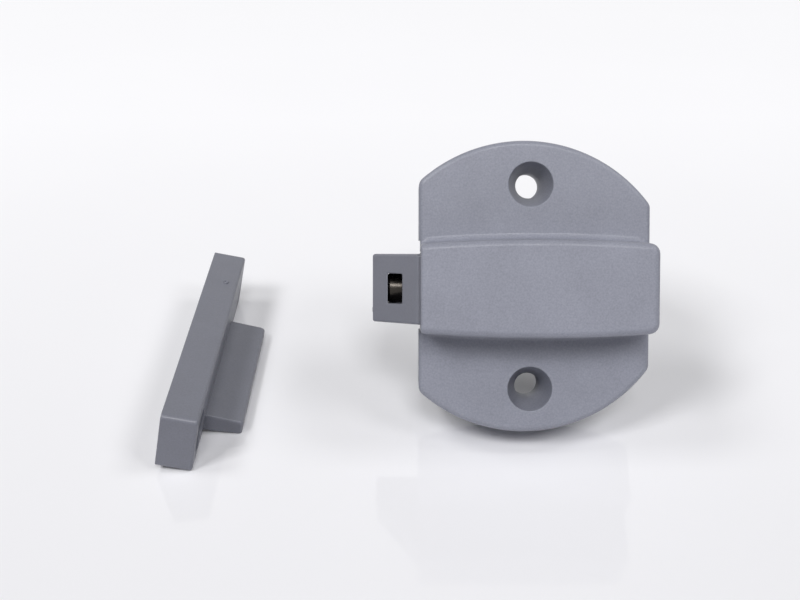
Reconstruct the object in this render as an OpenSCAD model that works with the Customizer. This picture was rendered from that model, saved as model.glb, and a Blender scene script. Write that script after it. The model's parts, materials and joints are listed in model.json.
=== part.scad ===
/* [Placement] */
// Angle that the housing leans back from upright
housing_lean = 28.5; // [10:0.5:50]
// Distance from the housing's centre to the striker's near lower corner, leftwards
striker_left = 66.2; // [55:0.1:120]
// Distance that the striker's near end lies in front of the housing's centre
striker_front = 30; // [0:0.5:60]
// Angle that the striker is turned about the vertical
striker_turn = 1; // [-15:0.5:15]

/* [Flange] */
// Height of the flange along its face
flange_height = 57; // [54:0.1:64]
// Distance from the hole line to the flat side that the bolt leaves
flange_left = 21.8; // [20:0.1:26]
// Distance from the hole line to the other flat side
flange_right = 23.3; // [20:0.1:26]
// Radius of the curved upper and lower sides
flange_arc_r = 30.4; // [29:0.1:45]
// Distance from the hole line to the middle of the curved sides, leftwards
flange_arc_left = 1.3; // [0:0.1:3]
// Thickness of the flange
flange_t = 12.5; // [10:0.5:15]
// Rounding of the flange's front edge
flange_edge_r = 1; // [0.4:0.1:2]
// Thickness of the skin in front of the cells moulded into the back
flange_skin = 2.4; // [1.6:0.1:4]
// Thickness of the rim round those cells
flange_rim = 2.2; // [1.4:0.1:3]
// Thickness of the ribs between the cells
rib_t = 1.2; // [0.8:0.1:2]
// Distance from rib to rib
rib_pitch = 7.6; // [6:0.2:9]

/* [Fixing holes] */
// Distance between the two screw holes of the housing
hole_pitch = 40; // [38:0.5:42]
// Diameter of the screw holes
hole_d = 5; // [3:0.1:6]
// Diameter of the recess for the screw's head
head_d = 8.65; // [7:0.05:10]
// Straight depth of that recess
head_wall = 1.5; // [0.5:0.1:2.5]
// Whole depth of that recess, cone included
head_depth = 6.3; // [4:0.1:8]
// Wall round the recess behind the skin
boss_wall = 1.6; // [1:0.1:2]

/* [Barrel] */
// Height of the barrel above the flange's face
barrel_rise = 10.5; // [9.5:0.1:14]
// Width of the barrel at its middle
barrel_width = 18.6; // [17.8:0.1:22]
// Width of the barrel at its ends
barrel_end_width = 16.8; // [16:0.1:17.6]
// Rounding of the barrel's front edges
barrel_edge_r = 1.3; // [0.6:0.1:1.8]
// Rounding of its two corners away from the bolt
barrel_corner_r = 2; // [1:0.1:3]
// Rounding of the front edge over the bolt's mouth
mouth_edge_r = 0.6; // [0.3:0.1:1]
// Hollow rounding between the barrel and the flange
root_r = 1.5; // [0.5:0.1:2]
// Depth of the step between the flange's flat side and the barrel's end
mouth_step = 0.3; // [0.2:0.1:1]
// Room above and below the bolt in its mouth
mouth_gap = 0.65; // [0.3:0.05:0.9]
// Depth of the widened mouth
mouth_depth = 1.2; // [0.6:0.1:2]
// Thickness of the wall behind the springs
end_wall = 3; // [2:0.1:4]

/* [Bolt] */
// Width of the bolt, along the height of the face
bolt_width = 13.4; // [12:0.1:13.6]
// Height of the bolt, away from the mounting plane
bolt_height = 15.9; // [14.5:0.1:16.4]
// Length of the bolt outside the flange
bolt_reach = 9.1; // [8:0.1:12]
// Height of the flat nose under the slope
nose_height = 5.8; // [5:0.1:7]
// Length of the slope
slope_run = 8.7; // [8:0.1:10]
// How far the bolt lies below the middle of its mouth
bolt_drop = 0.3; // [0:0.05:0.4]
// Way that the bolt slides back
travel = 9; // [5:0.5:9]
// Length of the shoulders that stop the bolt
shoulder_l = 6.5; // [4:0.5:8]
// How far the shoulders stand out beside the bolt
shoulder_out = 1.4; // [0.8:0.1:1.6]
// Height of the shoulders
shoulder_h = 7; // [5:0.5:8]
// Rounding of the bolt's long edges
bolt_edge_r = 0.5; // [0.2:0.1:0.8]

/* [Magnet] */
// Diameter of the magnet
magnet_d = 6; // [5:0.1:6.4]
// Length of the magnet
magnet_l = 12; // [8:0.5:16]
// Chamfer round the magnet's ends
magnet_chamfer = 0.4; // [0.2:0.05:0.6]
// Height of the magnet's axis above the bolt's underside
magnet_rise = 5.45; // [4.5:0.05:6]
// Length of the window in front of the magnet, along the bolt
window_l = 2.9; // [2:0.1:4]
// Width of the window
window_w = 5.9; // [4:0.1:5.9]
// Thickness of the bolt's nose before the window
window_gap = 3; // [2.5:0.1:4]
// Length of the plug behind the magnet
plug_l = 5; // [3:0.5:8]

/* [Springs] */
// Outer diameter of a return spring
spring_d = 3.4; // [2.8:0.1:3.6]
// Diameter of the spring wire
wire_d = 0.35; // [0.3:0.05:0.5]
// Turns of a return spring
spring_turns = 11; // [6:1:12]
// Distance between the two springs
spring_pitch = 7.8; // [7:0.1:8.2]
// Height of the springs above the bolt's underside
spring_rise = 10.5; // [10:0.1:11.5]
// Depth of the spring's seat in the bolt
seat_depth = 12; // [8:0.5:14]
// Diameter of the guide pins
pin_d = 1.8; // [1.2:0.1:2]
// Length of a guide pin outside the wall
pin_l = 13.5; // [8:0.5:14]
// Depth of the guide pin in the wall
pin_seat = 1.6; // [1:0.1:1.8]
// Thickness of the buffer on the wall
buffer_t = 2; // [1:0.1:2.5]

/* [Back cover] */
// Thickness of the back cover
cover_t = 2.9; // [2:0.1:3.4]
// Depth of the cover's face behind the mounting plane
cover_recess = 0.2; // [0.1:0.05:0.4]
// Width of the cover
cover_width = 26; // [25:0.1:27]
// Width of the ledge that carries the cover's far end
cover_ledge = 0.9; // [0.5:0.1:1.2]
// Thickness of the wall beside the cover at the bolt's end
cover_wall = 2; // [1.5:0.1:3]
// Rounding of the cover's corners
cover_corner_r = 1.5; // [0.5:0.1:2]
// Diameter of the cover screws
screw_d = 2; // [1.6:0.1:2.2]
// Diameter of the cover screw's head
screw_head_d = 3.9; // [3.2:0.1:4]
// Height of the screw's cone
screw_head_h = 1.2; // [0.8:0.1:1.4]
// Length of the cover screws
screw_l = 8; // [6:0.5:9]
// Distance from the cover's edges to a screw's axis
screw_inset = 2.6; // [2.4:0.1:2.8]

/* [Striker] */
// Length of the striker's plate
striker_l = 65; // [60:1:80]
// Height of the plate
striker_h = 12.5; // [11:0.1:16]
// Thickness of the plate
striker_t = 7.3; // [6:0.1:9]
// Diameter of the countersinks in the plate's front
striker_head_d = 8.6; // [6:0.1:10]
// Straight depth of a countersink
striker_head_wall = 0.6; // [0.2:0.1:1.5]
// Whole depth of a countersink
striker_head_depth = 2.7; // [2:0.1:4]
// Rounding of the edges round the plate's front
striker_edge_r = 0.6; // [0.3:0.1:1.2]
// Distance from the plate's ends to its screw holes
striker_hole_inset = 5.8; // [5.4:0.1:6]
// Diameter of the striker's screw holes
striker_hole_d = 4.5; // [3:0.1:5]
// Distance from the plate's near end to the lip
lip_start = 12.4; // [11:0.1:13]
// Distance from the lip to the plate's far end
lip_end = 16.8; // [12:0.1:25]
// How far the lip stands out from the plate
lip_reach = 7.9; // [6:0.1:9]
// Height of the lip's upper face at its outer edge, above the plate's lower edge
lip_top = 4.6; // [4:0.1:5]
// Height of the lip's upper face at the plate
lip_top_root = 5; // [4.6:0.1:6]
// Height of the lip's underside at the plate
lip_root = 0.75; // [0.3:0.05:1]
// Height of the lip's underside at its outer edge
lip_under = 1.62; // [1.2:0.01:2]
// Rounding of the lip's outer edges
lip_edge_r = 0.6; // [0.3:0.1:1]
// Depth of the cells moulded into the plate's back
striker_cell_depth = 4.5; // [2:0.5:5]
// Length of one such cell
striker_cell_l = 8.4; // [6:0.1:9]
// Cells in the plate's back
striker_cells = 4; // [1:1:4]
// Wall round those cells
striker_wall = 2; // [1.5:0.1:3]

/* [Fits] */
// Running clearance round the sliding bolt
slide_clearance = 0.2; // [0.1:0.05:0.3]
// Clearance round the cover in its seat
cover_clearance = 0.1; // [0.05:0.05:0.2]
// Clearance of pressed and screwed pieces in their holes
press_clearance = 0.02; // [0.01:0.01:0.05]
// Room round a spring in its seat
spring_clearance = 0.3; // [0.2:0.05:0.4]
// Gap between the shoulders and their stop while the bolt is out
stop_gap = 0.1; // [0.05:0.05:0.2]
// Gap between the bolt and the buffer when it is fully back
buffer_gap = 0.3; // [0.1:0.05:0.5]

/* [Hidden] */
$fn = 64;

// Overrun of cuts past the faces that they open
overrun = 1;
// Steps of the large curves
wide_steps = 360;

moulding_grey = [0.47, 0.48, 0.53];
bolt_grey = [0.40, 0.41, 0.45];
striker_grey = [0.40, 0.40, 0.44];
nickel = [0.22, 0.21, 0.20];
steel = [0.75, 0.76, 0.78];
rubber_black = [0.08, 0.08, 0.09];
cover_grey = [0.30, 0.31, 0.33];

// Places along X, the way that the bolt slides
mouth_x = -(flange_left - mouth_step);
tip_x = -flange_left - bolt_reach;
wall_x = flange_right - end_wall;
buffer_x = wall_x - buffer_t;
rear_x = buffer_x - travel - buffer_gap;
shoulder_x = rear_x - shoulder_l;
window_x = tip_x + window_gap;
seat_x = rear_x - seat_depth;
pin_x = wall_x - pin_l;

// Heights above the mounting plane
cover_top = cover_recess + cover_t;
bolt_low = cover_top + slide_clearance;
bolt_high = bolt_low + bolt_height;
channel_high = bolt_high + slide_clearance;
magnet_z = bolt_low + magnet_rise;
spring_z = bolt_low + spring_rise;
barrel_top = flange_t + barrel_rise;
cell_depth = flange_t - flange_skin;

// Widths across the face
channel_w = bolt_width + 2 * slide_clearance;
shoulder_w = bolt_width + 2 * shoulder_out;
wide_channel_w = shoulder_w + 2 * slide_clearance;
mouth_w = bolt_width + 2 * mouth_gap;
step_w = barrel_end_width + 2 * mouth_gap;

// The flange's curved sides
arc_drop = flange_arc_r - flange_height / 2;

// The barrel's crowned sides: an arc through its middle and its two ends
barrel_l = flange_right - mouth_x;
barrel_mid_x = (flange_right + mouth_x) / 2;
barrel_bow = (barrel_width - barrel_end_width) / 2;
barrel_arc_r = (pow(barrel_l / 2, 2) + pow(barrel_bow, 2)) / (2 * barrel_bow);
barrel_arc_drop = barrel_arc_r - barrel_width / 2;

// The cover and its four screws
cover_left = -flange_left + cover_wall;
cover_right = wall_x + cover_ledge;
screw_xs = [cover_left + screw_inset, cover_right - screw_inset];
screw_y = cover_width / 2 - screw_inset;
screw_places = [for (x = screw_xs, side = [1, -1]) [x, side * screw_y]];

// The springs
coil_r = (spring_d - wire_d) / 2;
coil_x0 = seat_x + wire_d / 2;
coil_x1 = wall_x - wire_d / 2;
coil_rings = 8;
coil_sides = 6;

// The cross slot in a cover screw's head, as shares of the head
slot_length_share = 0.62;
slot_width_share = 0.16;
slot_depth_share = 0.6;

// The surface that the latch is shown on, and the striker's lean onto its lip
table_z = -flange_height / 2 * cos(housing_lean);
striker_lean = atan2(lip_under, lip_reach);
lip_l = striker_l - lip_start - lip_end;

// Turns the housing's own axes, where Z leaves the mounting plane, to the leaning ones
module leaned() {
    rotate([90 - housing_lean, 0, 0]) children();
}

// Lowers the bolt and what lines up with it to the bolt's own middle line
module on_bolt_line() {
    translate([0, -bolt_drop, 0]) children();
}

// Stands the striker's own axes, where Y is its length and Z its height, in their place
module stood() {
    translate([-striker_left, -striker_front, table_z])
        rotate([0, 0, -striker_turn]) rotate([0, striker_lean, 0]) children();
}

// Rectangle from the origin with its two upper corners rounded
module round_topped(length, height, left_r, right_r) {
    square([left_r, height - left_r]);
    translate([left_r, 0]) square([length - left_r - right_r, height]);
    translate([length - right_r, 0]) square([right_r, height - right_r]);
    translate([left_r, height - left_r]) circle(r = left_r);
    translate([length - right_r, height - right_r]) circle(r = right_r);
}

// Disc with its upper edge rounded
module round_edged_disc(radius, height, edge_r) {
    rotate_extrude($fn = wide_steps) {
        square([radius, height - edge_r]);
        square([radius - edge_r, height]);
        translate([radius - edge_r, height - edge_r]) circle(r = edge_r, $fn = 64);
    }
}

// Block whose long profile lies in X and Z and is drawn along Y
module drawn_along_y(width) {
    translate([0, width / 2, 0]) rotate([90, 0, 0]) linear_extrude(width) children();
}

// The flange: two discs and the strip between its flat sides, all with rounded front edges
module flange_body() {
    intersection() {
        translate([-flange_arc_left, -arc_drop, 0])
            round_edged_disc(flange_arc_r, flange_t, flange_edge_r);
        translate([-flange_arc_left, arc_drop, 0])
            round_edged_disc(flange_arc_r, flange_t, flange_edge_r);
        translate([-flange_left, 0, 0]) drawn_along_y(flange_height)
            round_topped(flange_left + flange_right, flange_t, flange_edge_r, flange_edge_r);
    }
}

// The barrel's ends, drawn across the whole barrel
module barrel_ends() {
    translate([mouth_x, 0, 0]) drawn_along_y(barrel_width)
        round_topped(barrel_l, barrel_top, mouth_edge_r, barrel_edge_r);
}

// The barrel's outline at its far end, with round corners
module barrel_outline() {
    translate([0, -barrel_width / 2])
        square([flange_right - barrel_corner_r, barrel_width]);
    translate([mouth_x, -barrel_width / 2]) square([-mouth_x, barrel_width]);
    translate([0, barrel_corner_r - barrel_end_width / 2])
        square([flange_right, barrel_end_width - 2 * barrel_corner_r]);
    for (side = [1, -1])
        translate([flange_right - barrel_corner_r, side * (barrel_end_width / 2 - barrel_corner_r)])
            circle(r = barrel_corner_r);
}

// The barrel: a crowned bar, thicker at its middle
module barrel_body() {
    intersection() {
        translate([barrel_mid_x, -barrel_arc_drop, 0])
            round_edged_disc(barrel_arc_r, barrel_top, barrel_edge_r);
        translate([barrel_mid_x, barrel_arc_drop, 0])
            round_edged_disc(barrel_arc_r, barrel_top, barrel_edge_r);
        barrel_ends();
        linear_extrude(barrel_top) barrel_outline();
    }
}

// Hollow rounding where the barrel's upper side meets the flange
module barrel_root() {
    intersection() {
        translate([barrel_mid_x, -barrel_arc_drop, flange_t]) rotate_extrude($fn = wide_steps)
            difference() {
                translate([barrel_arc_r - root_r, -root_r]) square(2 * root_r);
                translate([barrel_arc_r + root_r, root_r]) circle(r = root_r);
            }
        translate([mouth_x, 0, flange_t - root_r])
            cube([barrel_l - flange_edge_r, barrel_width, 2 * root_r]);
    }
}

// Hole for a fixing screw, with its head's recess
module fixing_hole() {
    translate([0, 0, -overrun]) cylinder(d = hole_d, h = flange_t + 2 * overrun);
    translate([0, 0, flange_t - head_wall]) cylinder(d = head_d, h = head_wall + overrun);
    translate([0, 0, flange_t - head_depth])
        cylinder(d1 = hole_d, d2 = head_d, h = head_depth - head_wall);
}

// Outline of the cells behind the flange's upper half
module cell_outline() {
    cell_low = cover_width / 2 + cover_clearance + boss_wall;
    arc_r = flange_arc_r - flange_rim;
    columns = floor((flange_left + flange_right - 2 * flange_rim) / rib_pitch / 2);
    difference() {
        intersection() {
            translate([-flange_arc_left, -arc_drop]) circle(r = arc_r, $fn = wide_steps);
            translate([-flange_left + flange_rim, cell_low])
                square([flange_left + flange_right - 2 * flange_rim, flange_height / 2]);
        }
        translate([0, hole_pitch / 2]) circle(d = head_d + 2 * boss_wall);
        for (i = [-columns : columns])
            translate([i * rib_pitch - rib_t / 2, 0]) square([rib_t, flange_height]);
    }
}

// The space that the bolt slides in, open at the mouth and at the back
module bolt_channel() {
    channel_h = channel_high - cover_recess;
    on_bolt_line() {
        translate([-flange_left - overrun, -channel_w / 2, cover_recess])
            cube([flange_left + overrun + wall_x, channel_w, channel_h]);
        translate([shoulder_x - stop_gap, -wide_channel_w / 2, cover_recess])
            cube([wall_x - shoulder_x + stop_gap, wide_channel_w,
                  bolt_low + shoulder_h + slide_clearance - cover_recess]);
    }
    translate([mouth_x - overrun, -mouth_w / 2, cover_recess])
        cube([mouth_depth + overrun, mouth_w, bolt_high + mouth_gap - cover_recess]);
}

// The cover's outline, grown by a clearance for its seat
module cover_outline(grow) {
    left = cover_left - grow;
    right = cover_right + grow;
    half = cover_width / 2 + grow;
    corner_r = cover_corner_r + grow;
    translate([left + corner_r, -half]) square([right - left - 2 * corner_r, 2 * half]);
    translate([left, corner_r - half]) square([right - left, 2 * (half - corner_r)]);
    for (x = [left + corner_r, right - corner_r], side = [1, -1])
        translate([x, side * (half - corner_r)]) circle(r = corner_r);
    translate([mouth_x, -bolt_width / 2 - grow]) square([left - mouth_x + corner_r, bolt_width + 2 * grow]);
}

module housing() {
    color(moulding_grey) leaned() difference() {
        union() {
            difference() {
                flange_body();
                translate([-flange_left - overrun, -step_w / 2, -overrun])
                    cube([mouth_step + overrun, step_w, flange_t + 2 * overrun]);
            }
            barrel_body();
            barrel_root();
            mirror([0, 1, 0]) barrel_root();
        }
        bolt_channel();
        translate([0, 0, -overrun]) linear_extrude(cover_top + overrun) cover_outline(cover_clearance);
        translate([mouth_x - overrun, -bolt_width / 2 - cover_clearance, -overrun])
            cube([2 * overrun, bolt_width + 2 * cover_clearance, cover_top + overrun]);
        for (side = [0, 1]) mirror([0, side, 0]) {
            translate([0, hole_pitch / 2, 0]) fixing_hole();
            translate([0, 0, -overrun]) linear_extrude(cell_depth + overrun) cell_outline();
        }
        for (place = screw_places)
            translate([place[0], place[1], 0]) cylinder(d = screw_d + 2 * press_clearance, h = screw_l + overrun);
        on_bolt_line() for (side = [1, -1])
            translate([wall_x - overrun, side * spring_pitch / 2, spring_z]) rotate([0, 90, 0])
                cylinder(d = pin_d + 2 * press_clearance, h = pin_seat + overrun);
    }
}

module back_cover() {
    color(cover_grey) leaned() difference() {
        translate([0, 0, cover_recess]) linear_extrude(cover_t) cover_outline(0);
        for (place = screw_places) translate([place[0], place[1], cover_recess]) {
            translate([0, 0, -overrun]) cylinder(d = screw_d + 2 * cover_clearance, h = cover_t + 2 * overrun);
            cylinder(d1 = screw_head_d + 2 * cover_clearance, d2 = screw_d + 2 * cover_clearance,
                     h = screw_head_h);
        }
    }
}

// Countersunk screw of the back cover, with a cross slot in its head
module cover_screw(index) {
    place = screw_places[index - 1];
    slot_l = screw_head_d * slot_length_share;
    slot_w = screw_head_d * slot_width_share;
    slot_h = screw_head_h * slot_depth_share;
    color(steel) leaned() translate([place[0], place[1], cover_recess]) difference() {
        union() {
            cylinder(d1 = screw_head_d, d2 = screw_d, h = screw_head_h);
            cylinder(d = screw_d, h = screw_l - cover_recess);
        }
        for (size = [[slot_l, slot_w], [slot_w, slot_l]])
            translate([-size[0] / 2, -size[1] / 2, -overrun]) cube([size[0], size[1], slot_h + overrun]);
    }
}

// The bolt's side outline: a flat nose under a slope
module bolt_side() {
    polygon([
        [tip_x, bolt_low],
        [rear_x, bolt_low],
        [rear_x, bolt_high],
        [tip_x + slope_run, bolt_high],
        [tip_x, bolt_low + nose_height],
    ]);
}

// The bolt's end outline, with its long edges rounded
module bolt_section() {
    half = bolt_width / 2 - bolt_edge_r;
    translate([-bolt_width / 2, bolt_low + bolt_edge_r]) square([bolt_width, bolt_height - 2 * bolt_edge_r]);
    translate([-half, bolt_low]) square([2 * half, bolt_height]);
    for (y = [-half, half], z = [bolt_low + bolt_edge_r, bolt_high - bolt_edge_r])
        translate([y, z]) circle(r = bolt_edge_r, $fn = 32);
}

module bolt() {
    color(bolt_grey) leaned() on_bolt_line() difference() {
        union() {
            intersection() {
                drawn_along_y(bolt_width) bolt_side();
                translate([tip_x, 0, 0]) rotate([90, 0, 90]) linear_extrude(rear_x - tip_x) bolt_section();
            }
            translate([shoulder_x, -shoulder_w / 2, bolt_low]) cube([shoulder_l, shoulder_w, shoulder_h]);
        }
        translate([window_x, -window_w / 2, -overrun])
            cube([window_l, window_w, bolt_high + 2 * overrun]);
        translate([window_x, 0, magnet_z]) rotate([0, 90, 0])
            cylinder(d = magnet_d + 2 * press_clearance, h = rear_x - window_x + overrun);
        for (side = [1, -1])
            translate([seat_x, side * spring_pitch / 2, spring_z]) rotate([0, 90, 0])
                cylinder(d = spring_d + 2 * spring_clearance, h = seat_depth + overrun);
    }
}

module bolt_magnet() {
    color(nickel) leaned() on_bolt_line() translate([window_x, 0, magnet_z]) rotate([0, 90, 0]) {
        cylinder(d1 = magnet_d - 2 * magnet_chamfer, d2 = magnet_d, h = magnet_chamfer);
        translate([0, 0, magnet_chamfer]) cylinder(d = magnet_d, h = magnet_l - 2 * magnet_chamfer);
        translate([0, 0, magnet_l - magnet_chamfer])
            cylinder(d1 = magnet_d, d2 = magnet_d - 2 * magnet_chamfer, h = magnet_chamfer);
    }
}

module magnet_plug() {
    color(cover_grey) leaned() on_bolt_line() translate([window_x + magnet_l, 0, magnet_z]) rotate([0, 90, 0])
        cylinder(d = magnet_d, h = plug_l);
}

// A point on the spring's wire, and the direction of the wire there
function coil_point(turns) = let (angle = 360 * turns, share = turns / spring_turns)
    [coil_x0 + share * (coil_x1 - coil_x0), coil_r * cos(angle), coil_r * sin(angle)];
function coil_ring(turns) = let (
        angle = 360 * turns,
        radial = [0, cos(angle), sin(angle)],
        lead = (coil_x1 - coil_x0) / spring_turns,
        slant = atan2(lead, 2 * PI * coil_r),
        side = [cos(slant), sin(slant) * sin(angle), -sin(slant) * cos(angle)]
    ) [for (k = [0 : coil_sides - 1]) let (turn = 360 * k / coil_sides)
        coil_point(turns) + wire_d / 2 * (cos(turn) * radial + sin(turn) * side)];

// The least distance between the surfaces of neighbouring turns, measured from point to point
coil_gap = min([for (i = [0 : coil_rings], j = [-2 : 2])
    norm(coil_point(i / coil_rings) - coil_point((i + j) / coil_rings + 1))]) - wire_d;
echo(least_gap_between_spring_turns = coil_gap);

// One unbroken coil of wire
module return_spring(side) {
    count = spring_turns * coil_rings + 1;
    points = [for (i = [0 : count - 1]) each coil_ring(i / coil_rings)];
    walls = [for (i = [0 : count - 2], k = [0 : coil_sides - 1])
        let (a = i * coil_sides + k, b = i * coil_sides + (k + 1) % coil_sides)
            each [[a, b, b + coil_sides], [a, b + coil_sides, a + coil_sides]]];
    ends = [
        [for (k = [coil_sides - 1 : -1 : 0]) k],
        [for (k = [0 : coil_sides - 1]) (count - 1) * coil_sides + k],
    ];
    color(steel) leaned() on_bolt_line() translate([0, side * spring_pitch / 2, spring_z])
        polyhedron(points, concat(walls, ends));
}

// Guide pin of a spring, pressed into the end wall
module spring_pin(side) {
    color(steel) leaned() on_bolt_line() translate([pin_x, side * spring_pitch / 2, spring_z]) rotate([0, 90, 0])
        cylinder(d = pin_d, h = pin_l + pin_seat);
}

// Soft pad on the end wall, which the bolt's back meets
module bolt_buffer() {
    color(rubber_black) leaned() on_bolt_line() difference() {
        translate([buffer_x, -bolt_width / 2, bolt_low]) cube([buffer_t, bolt_width, bolt_height]);
        for (side = [1, -1])
            translate([buffer_x - overrun, side * spring_pitch / 2, spring_z]) rotate([0, 90, 0])
                cylinder(d = spring_d + 2 * spring_clearance, h = buffer_t + 2 * overrun);
    }
}

// Rectangle behind the line X = 0, with its two corners on that line rounded
module round_fronted(depth, width, corner_r) {
    translate([-depth, 0]) square([depth - corner_r, width]);
    translate([-corner_r, corner_r]) square([corner_r, width - 2 * corner_r]);
    for (y = [corner_r, width - corner_r]) translate([-corner_r, y]) circle(r = corner_r);
}

// The plate in the striker's own axes: X leaves its front, and the front's edges are rounded
module striker_plate() {
    intersection() {
        linear_extrude(striker_h) round_fronted(striker_t, striker_l, striker_edge_r);
        translate([0, striker_l, 0]) rotate([90, 0, 0]) linear_extrude(striker_l)
            round_fronted(striker_t, striker_h, striker_edge_r);
    }
}

// The lip's end outline, its underside sloped to lie on a surface
module lip_section() {
    root = -striker_t / 2;
    polygon(concat(
        [[root, lip_root], [0, lip_root], [lip_reach, lip_under]],
        [for (angle = [0 : 15 : 90]) [
            lip_reach - lip_edge_r + lip_edge_r * cos(angle),
            lip_top - lip_edge_r + lip_edge_r * sin(angle),
        ]],
        [[0, lip_top_root], [root, lip_top_root]]
    ));
}

// The lip that the bolt catches behind
module striker_lip() {
    intersection() {
        translate([0, lip_start + lip_l, 0]) rotate([90, 0, 0]) linear_extrude(lip_l) lip_section();
        translate([lip_reach, lip_start, 0]) linear_extrude(striker_h)
            round_fronted(lip_reach + striker_t / 2, lip_l, lip_edge_r);
    }
}

// Screw hole through the plate, its countersink in the front
module striker_hole() {
    rotate([0, -90, 0]) {
        translate([0, 0, -overrun]) cylinder(d = striker_hole_d, h = striker_t + 2 * overrun);
        translate([0, 0, -overrun]) cylinder(d = striker_head_d, h = striker_head_wall + overrun);
        translate([0, 0, striker_head_wall])
            cylinder(d1 = striker_head_d, d2 = striker_hole_d, h = striker_head_depth - striker_head_wall);
    }
}

module striker() {
    cell_step = striker_cell_l + rib_t;
    first_cell = striker_l / 2 - (striker_cells * cell_step - rib_t) / 2;
    color(striker_grey) stood() difference() {
        union() {
            striker_plate();
            striker_lip();
        }
        for (y = [striker_hole_inset, striker_l - striker_hole_inset])
            translate([0, y, striker_h / 2]) striker_hole();
        for (i = [0 : striker_cells - 1])
            translate([-striker_t - overrun, first_cell + i * cell_step, striker_wall])
                cube([striker_cell_depth + overrun, striker_cell_l, striker_h - 2 * striker_wall]);
    }
}

housing();
back_cover();
cover_screw(1);  // cover_screw_1
cover_screw(2);  // cover_screw_2
cover_screw(3);  // cover_screw_3
cover_screw(4);  // cover_screw_4
bolt();
bolt_magnet();
magnet_plug();
return_spring(1);  // return_spring_upper
return_spring(-1);  // return_spring_lower
spring_pin(1);  // spring_pin_upper
spring_pin(-1);  // spring_pin_lower
bolt_buffer();
striker();
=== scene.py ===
"""Dresses the push latch: its housing, bolt, magnet, springs and striker, on a pale glossy table."""
from __future__ import annotations

import functools
import json
import logging
import math
from collections.abc import Callable
from dataclasses import dataclass, field
from enum import Enum

import bmesh
import bpy
from bpy.types import Material, Node, NodeSocket
from mathutils import Matrix, Vector


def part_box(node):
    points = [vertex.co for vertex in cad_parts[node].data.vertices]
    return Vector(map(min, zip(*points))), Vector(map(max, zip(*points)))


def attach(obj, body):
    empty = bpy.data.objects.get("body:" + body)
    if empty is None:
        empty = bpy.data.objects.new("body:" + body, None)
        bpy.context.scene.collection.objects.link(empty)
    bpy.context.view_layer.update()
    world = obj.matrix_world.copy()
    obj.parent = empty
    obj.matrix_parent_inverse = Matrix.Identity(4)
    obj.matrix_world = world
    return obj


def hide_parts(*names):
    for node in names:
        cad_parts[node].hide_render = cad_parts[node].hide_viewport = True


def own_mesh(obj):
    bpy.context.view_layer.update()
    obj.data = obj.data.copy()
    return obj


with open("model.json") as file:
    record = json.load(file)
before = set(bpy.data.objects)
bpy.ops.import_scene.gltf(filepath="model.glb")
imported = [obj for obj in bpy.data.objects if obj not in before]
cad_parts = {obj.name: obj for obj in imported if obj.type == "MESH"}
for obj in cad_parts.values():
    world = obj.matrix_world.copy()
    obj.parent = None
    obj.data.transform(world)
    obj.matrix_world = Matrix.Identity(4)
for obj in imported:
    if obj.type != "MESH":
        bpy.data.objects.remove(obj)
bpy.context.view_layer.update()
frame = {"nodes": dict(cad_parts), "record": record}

log = logging.getLogger("push_latch")

MM = 0.001
# Smallest radius that a rounding shrinks to, so that every ring keeps its number of points
LEAST_R = 0.02
# Points nearer together than this merge
MERGE_MM = 0.0008
# Edges shorter than this go
SHORT_MM = 0.0005
# Edge angle, in degrees, from which an edge stays sharp
SHARP_ANGLE = 28
# How far a cutter reaches past the face that it opens, in millimetres
PAST = 1
QUARTER = math.pi / 2
# Turns a form's Z axis along X
ALONG_X = Matrix.Rotation(QUARTER, 4, "Y")

Point = tuple[float, float]
Triple = tuple[float, float, float]
Outline = list[Point]
Ring = list[Vector]
Piece = bpy.types.Object
# What goes into a node: a node whose first output is meant, a socket or a constant
Feed = Node | NodeSocket | float | tuple[float, ...]

WHITE = (1.0, 1.0, 1.0, 1.0)
# Values of a noise between which it is spread
MIDDLING = (0.3, 0.7)


class Side(Enum):
    """The two sides of the housing, above and below its middle line."""

    UPPER = 1
    LOWER = -1


class Grain(Enum):
    """How strongly a moulding tool's texture shows on the plastic: its bump and its change of tone."""

    SPARKED = (0.22, 0.10)
    FINE = (0.10, 0.06)
    SMOOTH = (0.05, 0.04)


def place_matrix(x_axis: Vector, y_axis: Vector, z_axis: Vector, origin: Vector) -> Matrix:
    """Makes the matrix that takes a piece's own millimetres to the frame's metres.

    Args:
        x_axis: The piece's X axis in the frame.
        y_axis: The piece's Y axis in the frame.
        z_axis: The piece's Z axis in the frame.
        origin: The piece's origin in the frame, in metres.

    Returns:
        A 4x4 matrix with the scale to metres in it.
    """
    turn = Matrix((x_axis, y_axis, z_axis)).transposed().to_4x4()
    return Matrix.Translation(origin) @ turn @ Matrix.Scale(MM, 4)


def at(x: float, y: float, z: float = 0.0) -> Matrix:
    """Returns the matrix that moves a form to a place."""
    return Matrix.Translation((x, y, z))


def mount_of(name: str) -> tuple[Vector, Vector]:
    """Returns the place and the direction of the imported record's mount of that name."""
    mount = next(mount for mount in frame["record"]["mounts"] if mount["name"] == name)
    return Vector(mount["pos_m"]), Vector(mount["axis"]).normalized()


def housing_place() -> Matrix:
    """Returns the housing's own axes: X along the bolt, Y up the face, Z out of the face.

    Returns:
        The matrix that takes the housing's axes to the frame.
    """
    origin, normal = mount_of("fixing_holes")
    along = Vector((1, 0, 0))
    return place_matrix(along, normal.cross(along), normal, origin)


def striker_place(length: float, height: float, thickness: float) -> Matrix:
    """Returns the striker's own axes: X out of its front, Y along it, Z up it.

    Args:
        length: The plate's length.
        height: The plate's height.
        thickness: The plate's thickness, from its front to the mount on its back.

    Returns:
        The matrix of a frame whose origin is the front's near lower corner.
    """
    origin, front = mount_of("striker_holes")
    along = Vector((0, 0, 1)).cross(front).normalized()
    upward = front.cross(along)
    steps = front * thickness - along * (length / 2) - upward * (height / 2)
    return place_matrix(front, along, upward, origin + steps * MM)


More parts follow.
